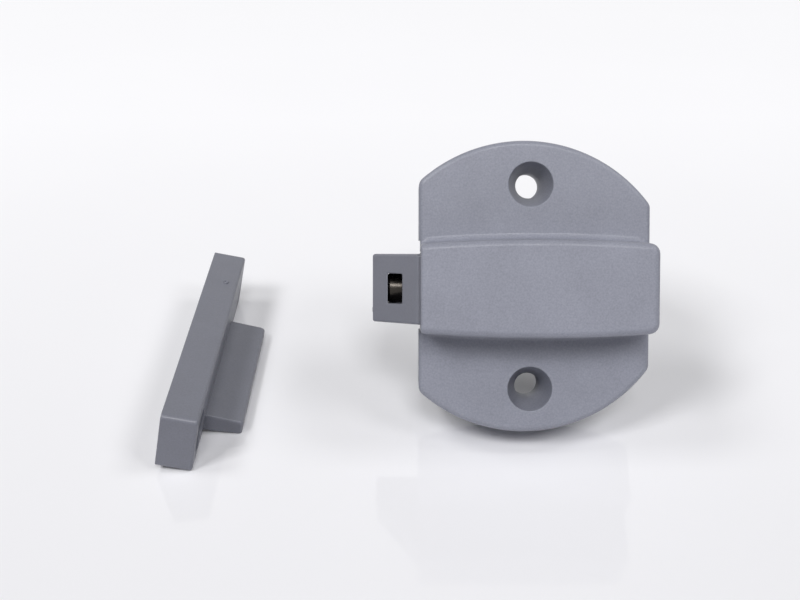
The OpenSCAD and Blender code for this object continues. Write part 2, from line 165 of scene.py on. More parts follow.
def arc_angles(steps: int) -> list[float]:
    """Returns the angles of a quarter circle's points."""
    return [QUARTER * i / steps for i in range(steps + 1)]


def inner_margin(height: float, top: float, radius: float) -> float:
    """Returns how far a rounded edge has drawn in at a height.

    Args:
        height: The height asked about.
        top: The height of the face above the edge.
        radius: The edge's radius.

    Returns:
        The distance from the wall, 0 below the rounding.
    """
    rise = height - (top - radius)
    if rise <= 0:
        return 0.0
    return radius - math.sqrt(max(radius ** 2 - rise ** 2, 0.0))


def rounding_heights(top: float, radius: float, steps: int) -> list[float]:
    """Returns the heights of the rings that round an edge off, from its foot to the face."""
    return [top - radius + radius * math.sin(angle) for angle in arc_angles(steps)]


def ring_at(outline: Outline, level: float, axis: int = 2) -> Ring:
    """Sets an outline up as a ring.

    Args:
        outline: Its points along the two other axes.
        level: Its place along the axis that it stands across.
        axis: Number of that axis, Z where none is given.

    Returns:
        The ring.
    """
    return [Vector((*point[:axis], level, *point[axis:])) for point in outline]


def rectangle(left: float, right: float, low: float, high: float) -> Outline:
    """Returns a rectangle's corners, anticlockwise."""
    return [(left, low), (right, low), (right, high), (left, high)]


def arc_points(centre: Point, radius: float, start: float, end: float, steps: int) -> Outline:
    """Returns the points of an arc between two angles.

    Args:
        centre: The arc's centre.
        radius: Its radius.
        start: Angle of its first point.
        end: Angle of its last point.
        steps: Segments of the arc.

    Returns:
        The points, both ends among them.
    """
    angles = [start + (end - start) * k / steps for k in range(steps + 1)]
    return [(centre[0] + radius * math.cos(a), centre[1] + radius * math.sin(a)) for a in angles]


def rounded_outline(corners: Outline, radius: float, margin: float, steps: int) -> Outline:
    """Rounds a convex outline's corners and draws it in.

    Args:
        corners: The outline's sharp corners, anticlockwise.
        radius: The rounding of the corners.
        margin: How far the whole outline is drawn in.
        steps: Segments in each corner.

    Returns:
        The points of the outline, the same number for every margin.
    """
    reach = max(radius - margin, LEAST_R)
    inset = margin + reach
    count = len(corners)
    outline: Outline = []
    for i in range(count):
        before, here, after = (Vector(corners[(i + step) % count]) for step in (-1, 0, 1))
        arriving = (here - before).normalized()
        leaving = (after - here).normalized()
        normal_in = Vector((arriving.y, -arriving.x))
        normal_out = Vector((leaving.y, -leaving.x))
        bisector = (normal_in + normal_out).normalized()
        centre = here - bisector * (inset / bisector.dot(normal_in))
        start = math.atan2(normal_in.y, normal_in.x)
        sweep = (math.atan2(normal_out.y, normal_out.x) - start) % math.tau
        outline += arc_points(tuple(centre), reach, start, start + sweep, steps)
    return outline


def flared_rim(face: float, radius: float, edge_r: float) -> Outline:
    """Returns the turned profile by which a round cutter rounds off the rim that it leaves.

    Args:
        face: Height of the face that the hole opens in.
        radius: The hole's radius below the rim.
        edge_r: Rounding of the rim.

    Returns:
        Pairs of height and radius, upwards and past the face.
    """
    foot = face - edge_r
    angles = arc_angles(steps=4)
    flare = [(foot + edge_r * math.sin(a), radius + edge_r * (1 - math.cos(a))) for a in angles]
    return flare + [(face + PAST, radius + edge_r + PAST)]


@dataclass(frozen=True)
class LensOutline:
    """An outline of two shallow arcs cut off by two flat ends, with rounded corners.

    Attributes:
        arc_r: Radius of both arcs.
        middle_x: Place of the arcs' middles along X.
        half_height: Greatest distance from the middle line.
        left: X of the left flat end.
        right: X of the right flat end.
        left_r: Rounding of the two left corners.
        right_r: Rounding of the two right corners.
        arc_steps: Segments of each arc.
        corner_steps: Segments of each corner.
    """

    arc_r: float
    middle_x: float
    half_height: float
    left: float
    right: float
    left_r: float
    right_r: float
    arc_steps: int = 72
    corner_steps: int = 5

    def height_at(self, x: float) -> float:
        """Returns the outline's half height at a place along X."""
        drop = self.arc_r - self.half_height
        return math.sqrt(self.arc_r ** 2 - (x - self.middle_x) ** 2) - drop

    def points(self, margin: float, left_margin: float) -> Outline:
        """Draws the outline in and returns its points, anticlockwise.

        Args:
            margin: How far the arcs and the right end are drawn in.
            left_margin: How far the left end is drawn in.

        Returns:
            The points, the same number for every margin.
        """
        upper = self._upper(margin, left_margin)
        return upper + [(x, -y) for x, y in reversed(upper)]

    def _upper(self, margin: float, left_margin: float) -> Outline:
        """Returns the upper half, from the right end to the left one.

        Args:
            margin: How far inside the outline to stay.
            left_margin: The same, at the left end.

        Returns:
            The points of the upper half.
        """
        drop = self.arc_r - self.half_height
        right_reach = max(self.right_r - margin, LEAST_R)
        left_reach = max(self.left_r - margin, LEAST_R)
        arc_r = self.arc_r - margin
        right_x = self.right - margin - right_reach
        left_x = self.left + left_margin + left_reach
        right_angle = math.acos((right_x - self.middle_x) / (arc_r - right_reach))
        left_angle = math.acos((left_x - self.middle_x) / (arc_r - left_reach))
        right_y = (arc_r - right_reach) * math.sin(right_angle) - drop
        left_y = (arc_r - left_reach) * math.sin(left_angle) - drop
        return [
            *arc_points((right_x, right_y), right_reach, 0.0, right_angle, self.corner_steps)[:-1],
            *arc_points((self.middle_x, -drop), arc_r, right_angle, left_angle, self.arc_steps),
            *arc_points((left_x, left_y), left_reach, left_angle, math.pi, self.corner_steps)[1:],
        ]


def linked(name: str, data: bpy.types.ID) -> Piece:
    """Makes an object of a mesh, a lamp or a camera and links it to the scene.

    Args:
        name: The object's name.
        data: Its mesh, lamp or camera.

    Returns:
        The object.
    """
    thing = bpy.data.objects.new(name, data)
    bpy.context.scene.collection.objects.link(thing)
    return thing


class Former:
    """Collects closed forms in one mesh, in millimetres, and hands them over as an object."""

    def __init__(self) -> None:
        """Starts with an empty mesh."""
        self.bm = bmesh.new()

    def loft(self, rings: list[Ring]) -> Former:
        """Skins a row of rings that have the same number of points, and closes its two ends.

        Args:
            rings: The rings, from one end to the other.

        Returns:
            The former.
        """
        rows = [[self.bm.verts.new(point) for point in ring] for ring in rings]
        for low, high in zip(rows, rows[1:]):
            for k in range(len(low)):
                after = (k + 1) % len(low)
                self.bm.faces.new((low[k], low[after], high[after], high[k]))
        self.bm.faces.new(list(reversed(rows[0])))
        self.bm.faces.new(rows[-1])
        return self

    def turned(self, profile: Outline, *places: Matrix, steps: int) -> Former:
        """Spins a profile about the Z axis of each place.

        Args:
            profile: Pairs of height and radius, from one end to the other.
            places: Where the axes stand.
            steps: Segments round the axis.

        Returns:
            The former.
        """
        angles = [math.tau * k / steps for k in range(steps)]
        for place in places:
            self.loft([
                [place @ Vector((radius * math.cos(a), radius * math.sin(a), height)) for a in angles]
                for height, radius in profile
            ])
        return self

    def rod(self, radius: float, low: float, high: float, *places: Matrix, steps: int) -> Former:
        """Adds a plain rod about the Z axis of each place, from one height to another."""
        return self.turned([(low, radius), (high, radius)], *places, steps=steps)

    def column(self, outline: Outline, low: float, high: float) -> Former:
        """Adds an upright column of an outline."""
        return self.loft([ring_at(outline, z) for z in (low, high)])

    def block(self, along: Point, half: float, upward: Point, middle: float = 0.0) -> Former:
        """Adds a plain box that reaches equally far to both sides of a line.

        Args:
            along: Its two ends along X.
            half: Half its width.
            upward: Heights of its foot and its head.
            middle: Y of the line.

        Returns:
            The former.
        """
        return self.column(rectangle(*along, middle - half, middle + half), *upward)

    def rounded(
        self, outline_at: Callable[[float], Outline], ends: Point, radii: Point, steps: int, axis: int = 2
    ) -> Former:
        """Adds a form whose foot and head have rounded edges.

        Args:
            outline_at: Gives the outline by how far it is drawn in.
            ends: Places of the foot and the head along the form's axis.
            radii: Roundings of the foot's and the head's edge.
            steps: Segments of each rounding.
            axis: Number of the form's axis, Z where none is given.

        Returns:
            The former.
        """
        (low, high), (low_r, high_r) = ends, radii
        foot = [-level for level in reversed(rounding_heights(-low, low_r, steps))]
        rings: list[Ring] = []
        for level in foot + rounding_heights(high, high_r, steps):
            margin = max(inner_margin(level, high, high_r), inner_margin(-level, -low, low_r))
            rings.append(ring_at(outline_at(margin), level, axis))
        return self.loft(rings)

    def slab(self, along: Point, half: float, upward: Point, corner_r: float, edge_r: float) -> Former:
        """Adds a box on both sides of the X axis, with rounded corners and edges.

        Args:
            along: Its two ends along X.
            half: Half its width.
            upward: Heights of its foot and its head.
            corner_r: Rounding of the corners in plan.
            edge_r: Rounding of the edges round the foot and the head.

        Returns:
            The former.
        """
        corners = rectangle(*along, -half, half)
        return self.rounded(
            lambda margin: rounded_outline(corners, corner_r, margin, steps=4),
            upward, (edge_r, edge_r), steps=3,
        )

    def finish(self, name: str = "tool") -> Piece:
        """Turns the mesh into an object, linked to the scene, at the origin.

        Args:
            name: The object's name.

        Returns:
            The object, in millimetres.
        """
        bmesh.ops.recalc_face_normals(self.bm, faces=self.bm.faces)
        mesh = bpy.data.meshes.new(name)
        self.bm.to_mesh(mesh)
        self.bm.free()
        return linked(name, mesh)


def apply_modifiers(piece: Piece) -> None:
    """Replaces a piece's mesh by its evaluated mesh and clears its modifiers.

    Args:
        piece: The piece to bake.
    """
    bpy.context.view_layer.update()
    graph = bpy.context.evaluated_depsgraph_get()
    mesh = bpy.data.meshes.new_from_object(piece.evaluated_get(graph))
    piece.modifiers.clear()
    piece.data = mesh


def combine(piece: Piece, tool: Piece, operation: str) -> None:
    """Cuts a tool out of a piece, or joins it on, and deletes the tool.

    Args:
        piece: The piece that is changed.
        tool: The closed mesh that cuts or joins.
        operation: DIFFERENCE or UNION.
    """
    modifier = piece.modifiers.new("combine", "BOOLEAN")
    modifier.operation = operation
    modifier.solver = "EXACT"
    modifier.object = tool
    apply_modifiers(piece)
    bpy.data.objects.remove(tool, do_unlink=True)


def cut(piece: Piece, former: Former) -> None:
    """Cuts what a former holds out of a piece."""
    combine(piece, former.finish(), "DIFFERENCE")


def join(piece: Piece, former: Former) -> None:
    """Joins what a former holds onto a piece."""
    combine(piece, former.finish(), "UNION")


def settle(piece: Piece, place: Matrix, sharp_angle: float) -> None:
    """Cleans a cut mesh, places it and shades it smooth up to an angle.

    Args:
        piece: The piece, still in millimetres.
        place: The matrix that takes it to the frame.
        sharp_angle: The edge angle, in degrees, from which an edge stays sharp.
    """
    bm = bmesh.new()
    bm.from_mesh(piece.data)
    bmesh.ops.remove_doubles(bm, verts=bm.verts, dist=MERGE_MM)
    bmesh.ops.dissolve_degenerate(bm, edges=bm.edges, dist=SHORT_MM)
    bmesh.ops.recalc_face_normals(bm, faces=bm.faces)
    bm.transform(place)
    for face in bm.faces:
        face.smooth = True
    bm.to_mesh(piece.data)
    bm.free()
    piece.data.set_sharp_from_angle(angle=math.radians(sharp_angle))
    weighted = piece.modifiers.new("face_weights", "WEIGHTED_NORMAL")
    weighted.keep_sharp = True
    weighted.weight = 100
    apply_modifiers(piece)


class Recipe:
    """Adds nodes to a tree."""

    def __init__(self, tree: bpy.types.NodeTree) -> None:
        """Starts with the tree that the nodes go into."""
        self.tree = tree

    def put(self, node: Node, name: str | int, value: Feed) -> None:
        """Feeds one input of a node, which its name or its number says.

        Args:
            node: The node to feed.
            name: The input's name or number.
            value: A node, a socket or a plain value.
        """
        if isinstance(value, Node):
            value = value.outputs[0]
        if isinstance(value, NodeSocket):
            self.tree.links.new(value, node.inputs[name])
        else:
            node.inputs[name].default_value = value

    def add(self, kind: str, inputs: dict[str | int, Feed] | None = None, **settings: str) -> Node:
        """Adds a node.

        Args:
            kind: The node's type.
            inputs: What goes into it, by the name or number of the input.
            settings: Its options.

        Returns:
            The node.
        """
        node = self.tree.nodes.new(kind)
        for name, value in settings.items():
            setattr(node, name, value)
        for name, value in (inputs or {}).items():
            self.put(node, name, value)
        return node

    def math(self, operation: str, first: Feed, second: Feed) -> Node:
        """Adds a calculation with two values, such as MULTIPLY."""
        return self.add("ShaderNodeMath", {0: first, 1: second}, operation=operation)


class MaterialRecipe(Recipe):
    """Builds the node tree of one material around a Principled shader."""

    def __init__(self, name: str) -> None:
        """Starts a material with a Principled shader and its output.

        Args:
            name: The material's name.
        """
        self.material = bpy.data.materials.new(name)
        self.material.use_nodes = True
        super().__init__(self.material.node_tree)
        self.tree.nodes.clear()
        self.shader = self.add("ShaderNodeBsdfPrincipled")
        self.add("ShaderNodeOutputMaterial", {"Surface": self.shader})
        self.place = self.add("ShaderNodeTexCoord").outputs["Object"]

    def feed(self, **values: Feed) -> None:
        """Feeds the shader's inputs, with underscores for the spaces in their names."""
        for name, value in values.items():
            self.put(self.shader, name.replace("_", " "), value)

    def noise(self, size_mm: float, detail: float = 2.0, place: Feed | None = None) -> Node:
        """Adds a noise.

        Args:
            size_mm: Size of its lumps.
            detail: Octaves of finer noise on them.
            place: Coordinates to read, the piece's own where none are given.

        Returns:
            The noise.
        """
        inputs = {"Scale": 1 / (size_mm * MM), "Detail": detail, "Vector": place or self.place}
        return self.add("ShaderNodeTexNoise", inputs)

    def spread(self, value: Feed, start: Point, end: Point) -> Node:
        """Maps a value from one range to another, clamped.

        Args:
            value: The value to map.
            start: Lowest and highest value that comes in.
            end: What they become.

        Returns:
            The mapped value.
        """
        inputs = dict(zip(("From Min", "From Max", "To Min", "To Max"), (*start, *end)))
        return self.add("ShaderNodeMapRange", {**inputs, "Value": value})

    def shaded(self, colour: Triple, tone: Feed) -> NodeSocket:
        """Multiplies a colour by a changing tone and returns the result.

        Args:
            colour: The colour to start from.
            tone: What it is multiplied by.

        Returns:
            The socket that gives the result.
        """
        grey = self.add("ShaderNodeCombineColor", dict.fromkeys(("Red", "Green", "Blue"), tone))
        inputs = {"Factor": 1.0, "A": (*colour, 1.0), "B": grey}
        node = self.add("ShaderNodeMix", inputs, data_type="RGBA", blend_type="MULTIPLY")
        return node.outputs["Result"]

    def relief(self, height: Feed, strength: float, depth_mm: float, under: Feed | None = None) -> Node:
        """Adds a bump to the surface.

        Args:
            height: The relief's height.
            strength: Share of it that shows.
            depth_mm: Its depth at a height of one.
            under: The normal of a coarser relief that it lies on.

        Returns:
            The new normal.
        """
        inputs = {"Strength": strength, "Distance": depth_mm * MM, "Height": height}
        if under is not None:
            inputs["Normal"] = under
        return self.add("ShaderNodeBump", inputs)


@dataclass(frozen=True)
class Finish:
    """A material that pieces wear.

    Attributes:
        name: The material's name.
        slot: The record's material slot, not used.
        colour: The material's own colour.
    """

    name: str
    slot: str
    colour: Triple

    def paint(self, recipe: MaterialRecipe) -> None:
        """Feeds the material's shader."""
        raise NotImplementedError


@dataclass(frozen=True)
class MouldedFinish(Finish):
    """Moulded plastic: a tool's sparked grain, faint flow unevenness and a trace of handling.

    Attributes:
        roughness: Its mean roughness.
        grain: How strongly the tool's texture shows.
        rough_swing: How far the roughness goes up and down.
        cloud_mm: Size of the broad changes of tone.
        speck_mm: Size of the fine ones.
        touch_mm: Size of the changes of roughness.
        flow_mm: Size of the faint unevenness of the surface.
        grain_mm: Size of the tool's texture.
    """

    roughness: float
    grain: Grain
    rough_swing: float = 0.06
    cloud_mm: float = 9.0
    speck_mm: float = 0.34
    touch_mm: float = 4.0
    flow_mm: float = 6.0
    grain_mm: float = 0.26

    def paint(self, recipe: MaterialRecipe) -> None:
        """Feeds the material's shader.

        Args:
            recipe: The material's recipe.
        """
        bump, tone = self.grain.value
        broad = (1 - tone / 2, 1 + tone / 2)
        cloud = recipe.spread(recipe.noise(self.cloud_mm, detail=3.0), MIDDLING, broad)
        speck = recipe.spread(recipe.noise(self.speck_mm), MIDDLING, (1 - tone, 1 + tone))
        rough = (self.roughness - self.rough_swing, self.roughness + self.rough_swing)
        flow = recipe.relief(recipe.noise(self.flow_mm, detail=1.0), strength=0.25, depth_mm=0.05)
        texture = recipe.noise(self.grain_mm, detail=2.5)
        recipe.feed(
            Base_Color=recipe.shaded(self.colour, recipe.math("MULTIPLY", cloud, speck)),
            Roughness=recipe.spread(recipe.noise(self.touch_mm, detail=4.0), MIDDLING, rough),
            Normal=recipe.relief(texture, strength=bump, depth_mm=0.06, under=flow),
            IOR=1.5,
        )


@dataclass(frozen=True)
class MetalFinish(Finish):
    """Plated or drawn metal with fine marks along one axis.

    Attributes:
        roughness: Its mean roughness.
        marks: How far the marks are drawn out along each axis.
        rough_swing: How far the roughness goes down and up.
        stain_mm: Size of the changes of tone.
        stain: Darkest and brightest tone.
        mark_mm: Width of the marks.
    """

    roughness: float
    marks: Triple = (1.0, 1.0, 1.0)
    rough_swing: Point = (0.07, 0.1)
    stain_mm: float = 2.2
    stain: Point = (0.86, 1.06)
    mark_mm: float = 0.22

    def paint(self, recipe: MaterialRecipe) -> None:
        """Feeds the material's shader.

        Args:
            recipe: The material's recipe.
        """
        drawn = recipe.add("ShaderNodeMapping", {"Scale": self.marks, "Vector": recipe.place})
        stain = recipe.spread(recipe.noise(self.stain_mm, detail=4.0), MIDDLING, self.stain)
        lines = recipe.noise(self.mark_mm, detail=3.0, place=drawn)
        rough = (self.roughness - self.rough_swing[0], self.roughness + self.rough_swing[1])
        recipe.feed(
            Base_Color=recipe.shaded(self.colour, stain),
            Roughness=recipe.spread(lines, MIDDLING, rough),
            Normal=recipe.relief(lines, strength=0.12, depth_mm=0.02),
            Metallic=1.0,
        )


@dataclass(frozen=True)
class RubberFinish(Finish):
    """Cut sheet rubber, dull and slightly dusty.

    Attributes:
        roughness: Its least and greatest roughness.
        wear_mm: Size of the changes of roughness.
        dust_mm: Size of the patches of dust.
        dust_edge: Values of the noise between which a patch fades.
        dust: Darkest and brightest tone.
        pit_mm: Size of the pits.
    """

    roughness: Point = (0.68, 0.85)
    wear_mm: float = 1.4
    dust_mm: float = 0.9
    dust_edge: Point = (0.45, 0.75)
    dust: Point = (0.9, 1.9)
    pit_mm: float = 0.18

    def paint(self, recipe: MaterialRecipe) -> None:
        """Feeds the material's shader.

        Args:
            recipe: The material's recipe.
        """
        dust = recipe.spread(recipe.noise(self.dust_mm, detail=4.0), self.dust_edge, self.dust)
        pits = recipe.add("ShaderNodeTexVoronoi", {"Scale": 1 / (self.pit_mm * MM), "Vector": recipe.place})
        recipe.feed(
            Base_Color=recipe.shaded(self.colour, dust),
            Roughness=recipe.spread(recipe.noise(self.wear_mm), MIDDLING, self.roughness),
            Normal=recipe.relief(pits, strength=0.2, depth_mm=0.04),
        )


HOUSING_FINISH = MouldedFinish(
    "housing_plastic", "housing_plastic", (0.235, 0.243, 0.293), 0.42, Grain.SPARKED
)
BOLT_FINISH = MouldedFinish("bolt_plastic", "bolt_plastic", (0.168, 0.173, 0.207), 0.42, Grain.SMOOTH)
STRIKER_FINISH = MouldedFinish(
    "striker_plastic", "striker_plastic", (0.163, 0.168, 0.202), 0.36, Grain.FINE
)
COVER_FINISH = MouldedFinish("cover_plastic", "cover_plastic", (0.09, 0.093, 0.1), 0.5, Grain.FINE)
PLUG_FINISH = MouldedFinish("plug_plastic", "cover_plastic", (0.09, 0.093, 0.1), 0.45, Grain.SMOOTH)
# The magnet's colour is painted shade: near black, far darker than nickel's own, so that it looks as dark
# as the shade and dark reflections inside the bolt's window
NICKEL_PAINTED_SHADE_FINISH = MetalFinish("magnet_nickel", "magnet_nickel", (0.04, 0.036, 0.032), 0.24, (0.2, 1.0, 1.0))
ZINC_FINISH = MetalFinish("zinc_steel", "zinc_steel", (0.62, 0.63, 0.65), 0.3)
SPRING_FINISH = MetalFinish("spring_steel", "spring_steel", (0.5, 0.5, 0.52), 0.28)
PIN_FINISH = MetalFinish("pin_steel", "zinc_steel", (0.62, 0.63, 0.65), 0.24, (0.15, 1.0, 1.0))
RUBBER_FINISH = RubberFinish("buffer_rubber", "buffer_rubber", (0.02, 0.02, 0.022))


@functools.cache
def material_of(finish: Finish) -> Material:
    """Returns the finish's material, built once.

    Args:
        finish: The finish to build.

    Returns:
        Its material.
    """
    recipe = MaterialRecipe(finish.name)
    finish.paint(recipe)
    return recipe.material


def deliver(
    piece: Piece, place: Matrix, body: str, finish: Finish, *nodes: str, sharp_angle: float = SHARP_ANGLE
) -> None:
    """Settles a piece, dresses it, sets it on its body and hides the CAD nodes that it stands for.

    Args:
        piece: The piece, in millimetres.
        place: The matrix that takes it to the frame.
        body: The body that it moves with.
        finish: Its finish.
        nodes: The CAD nodes that it stands for.
        sharp_angle: The edge angle, in degrees, from which an edge stays sharp.
    """
    settle(piece, place, sharp_angle)
    piece.data.materials.clear()
    piece.data.materials.append(material_of(finish))
    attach(piece, body)
    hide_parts(*nodes)
    log.info("%s: %d faces, stands for %s on %s", piece.name, len(piece.data.polygons), nodes, body)


class TreeRecipe(Recipe):
    """Builds one Geometry Nodes tree with named inputs, and bakes pieces with it."""

    def __init__(self, name: str, kinds: dict[str, str]) -> None:
        """Starts a tree that takes a mesh, a finish and the inputs of those names and kinds.

        Args:
            name: The tree's name.
            kinds: The socket type of each input, by its name.
        """
        super().__init__(bpy.data.node_groups.new(name, "GeometryNodeTree"))
        new_socket = self.tree.interface.new_socket
        new_socket("Geometry", in_out="OUTPUT", socket_type="NodeSocketGeometry")
        self.identifiers = {
            key: new_socket(key, in_out="INPUT", socket_type=f"NodeSocket{kind}").identifier
            for key, kind in {"Geometry": "Geometry", **kinds, "Finish": "Material"}.items()
        }
        self.group_in = self.add("NodeGroupInput")

    def given(self, name: str) -> NodeSocket:
        """Returns the tree's own input of that name."""
        return self.group_in.outputs[name]

    def end(self, geometry: Feed) -> TreeRecipe:
        """Closes the tree: instances made real, and the finish set.

        Args:
            geometry: What the tree gives out.

        Returns:
            The recipe.
        """
        real = self.add("GeometryNodeRealizeInstances", {"Geometry": geometry})
        worn = {"Geometry": real, "Material": self.given("Finish")}
        self.add("NodeGroupOutput", {"Geometry": self.add("GeometryNodeSetMaterial", worn)})
        return self

    def bake(self, piece: Piece, values: dict[str, object]) -> None:
        """Runs the tree on a piece and keeps the result as its plain mesh.

        Args:
            piece: The piece whose mesh goes in and comes out.
            values: The tree's inputs by name.
        """
        modifier = piece.modifiers.new(self.tree.name, "NODES")
        modifier.node_group = self.tree
        for name, value in values.items():
            modifier[self.identifiers[name]] = value
        apply_modifiers(piece)


# Rise of a spring's closed end turn, in radii of its wire
CLOSED_TURN_RISE = 2.2


def ribbed_cells_tree() -> TreeRecipe:
    """Builds the tree that parts a block of cells by a row of ribs, for use as a cutter.

    Returns:
        The tree's recipe.
    """
    kinds = {"Ribs": "Int", "First": "Vector", "Step": "Vector", "Rib size": "Vector"}
    recipe = TreeRecipe("ribbed_cells", kinds)
    given = recipe.given
    row = {"Count": given("Ribs"), "Start Location": given("First"), "Offset": given("Step")}
    copies = recipe.add("GeometryNodeInstanceOnPoints", {
        "Points": recipe.add("GeometryNodeMeshLine", row, mode="OFFSET"),
        "Instance": recipe.add("GeometryNodeMeshCube", {"Size": given("Rib size")}),
    })
    ribs = recipe.add("GeometryNodeRealizeInstances", {"Geometry": copies})
    meshes = {"Mesh 1": given("Geometry"), "Mesh 2": ribs}
    return recipe.end(
        recipe.add("GeometryNodeMeshBoolean", meshes, operation="DIFFERENCE", solver="EXACT")
    )


def seated_screws_tree() -> TreeRecipe:
    """Builds the tree that sets one screw on every point of a mesh, each turned by chance.

    Returns:
        The tree's recipe.
    """
    recipe = TreeRecipe("seated_screws", {"Screw": "Object", "Seed": "Int"})
    given = recipe.given
    screw = recipe.add("GeometryNodeObjectInfo", {"Object": given("Screw")}, transform_space="ORIGINAL")
    chance = {"Max": (0.0, 0.0, math.tau), "Seed": given("Seed")}
    return recipe.end(recipe.add("GeometryNodeInstanceOnPoints", {
        "Points": given("Geometry"),
        "Instance": screw.outputs["Geometry"],
        "Rotation": recipe.add("FunctionNodeRandomValue", chance, data_type="FLOAT_VECTOR"),
    }))


def coiled_wire_tree() -> TreeRecipe:
    """Builds the tree that winds a wire into a compression spring with closed end turns.

    Returns:
        The tree's recipe.
    """
    lengths = dict.fromkeys(("Turns", "Coil radius", "Wire radius", "Length"), "Float")
    recipe = TreeRecipe("coiled_wire", {**lengths, "Rings per turn": "Int", "Wire sides": "Int"})
    given, sums = recipe.given, recipe.math
    spiral = recipe.add("GeometryNodeCurveSpiral", {
        "Resolution": given("Rings per turn"),
        "Rotations": given("Turns"),
        "Start Radius": given("Coil radius"),
        "End Radius": given("Coil radius"),
        "Height": given("Length"),
    })
    along = recipe.add("GeometryNodeSplineParameter").outputs["Factor"]
    end_share = sums("DIVIDE", 1.0, given("Turns"))
    open_share = sums("SUBTRACT", 1.0, end_share)
    closed_rise = sums("MULTIPLY", given("Wire radius"), CLOSED_TURN_RISE)
    wire_share = sums("DIVIDE", closed_rise, given("Length"))
    risen = recipe.add("ShaderNodeMapRange", {
        "Value": along,
        "From Min": end_share,
        "From Max": open_share,
        "To Min": wire_share,
        "To Max": sums("SUBTRACT", 1.0, wire_share),
    })
    in_ends = sums("ADD", sums("MINIMUM", along, end_share), sums("MAXIMUM", along, open_share))
    closed_slope = sums("DIVIDE", wire_share, end_share)
    ends = sums("MULTIPLY", sums("SUBTRACT", in_ends, 1.0), closed_slope)
    height = sums("MULTIPLY", sums("ADD", risen, ends), given("Length"))
    here = recipe.add("ShaderNodeSeparateXYZ", {"Vector": recipe.add("GeometryNodeInputPosition")})
    there = {"X": here.outputs["X"], "Y": here.outputs["Y"], "Z": height}
    coil = {"Geometry": spiral, "Position": recipe.add("ShaderNodeCombineXYZ", there)}
    round_wire = {"Resolution": given("Wire sides"), "Radius": given("Wire radius")}
    return recipe.end(recipe.add("GeometryNodeCurveToMesh", {
        "Curve": recipe.add("GeometryNodeSetPosition", coil),
        "Profile Curve": recipe.add("GeometryNodeCurvePrimitiveCircle", round_wire),
        "Fill Caps": True,
    }))


@dataclass(frozen=True)
class LatchLayout:
    """Sizes that several pieces of the latch share, in millimetres on the housing's own axes.

    X is the way that the bolt slides back, Y goes up the face and Z leaves the mounting plane.
    """

    flange_left: float = 21.8
    flange_right: float = 23.3
    flange_t: float = 12.5
    barrel_top: float = 23.0
    mouth_x: float = -21.5
    wall_x: float = 20.3
    tip_x: float = -30.9
    rear_x: float = 9.0
    buffer_x: float = 18.3
    cover_low: float = 0.2
    cover_top: float = 3.1
    cover_left: float = -19.8
    cover_right: float = 21.2
    cover_half: float = 13.0
    cover_corner_r: float = 1.5
    cover_gap: float = 0.1
    bolt_low: float = 3.3
    bolt_high: float = 19.2
    bolt_half: float = 6.7
    bolt_drop: float = 0.3
    slide_gap: float = 0.2
    shoulder_x: float = 2.5
    shoulder_half: float = 8.1
    shoulder_top: float = 10.3
    spring_z: float = 13.8
    spring_y: float = 3.9
    spring_d: float = 3.4
    spring_gap: float = 0.3
    seat_x: float = -3.0
    pin_d: float = 1.8
    pin_end_x: float = 21.9
    screw_inset: float = 2.6
    screw_d: float = 2.0
    screw_l: float = 8.0

    @property
    def spring_room(self) -> float:
        """Radius of the holes that the springs stand in."""
        return self.spring_d / 2 + self.spring_gap

    def screw_places(self) -> list[Point]:
        """Returns the places of the cover's four screws.

        Returns:
            The places, in the housing's axes.
        """
        across = self.cover_half - self.screw_inset
        columns = (self.cover_left + self.screw_inset, self.cover_right - self.screw_inset)
        return [(x, side.value * across) for x in columns for side in Side]

    def screw_axes(self) -> list[Matrix]:
        """Returns the axes of the cover's four screws."""
        return [at(x, y) for x, y in self.screw_places()]

    def spring_axis(self, side: Side, x: float) -> Matrix:
        """Returns the axes whose Z runs along one spring, with their origin at a place along it."""
        return at(x, side.value * self.spring_y - self.bolt_drop, self.spring_z) @ ALONG_X

    def spring_axes(self, x: float, drop: float = 0.0) -> list[Matrix]:
        """Returns both springs' axes, raised by a piece's own drop where it has one."""
        return [at(0, drop) @ self.spring_axis(side, x) for side in Side]


LAYOUT = LatchLayout()


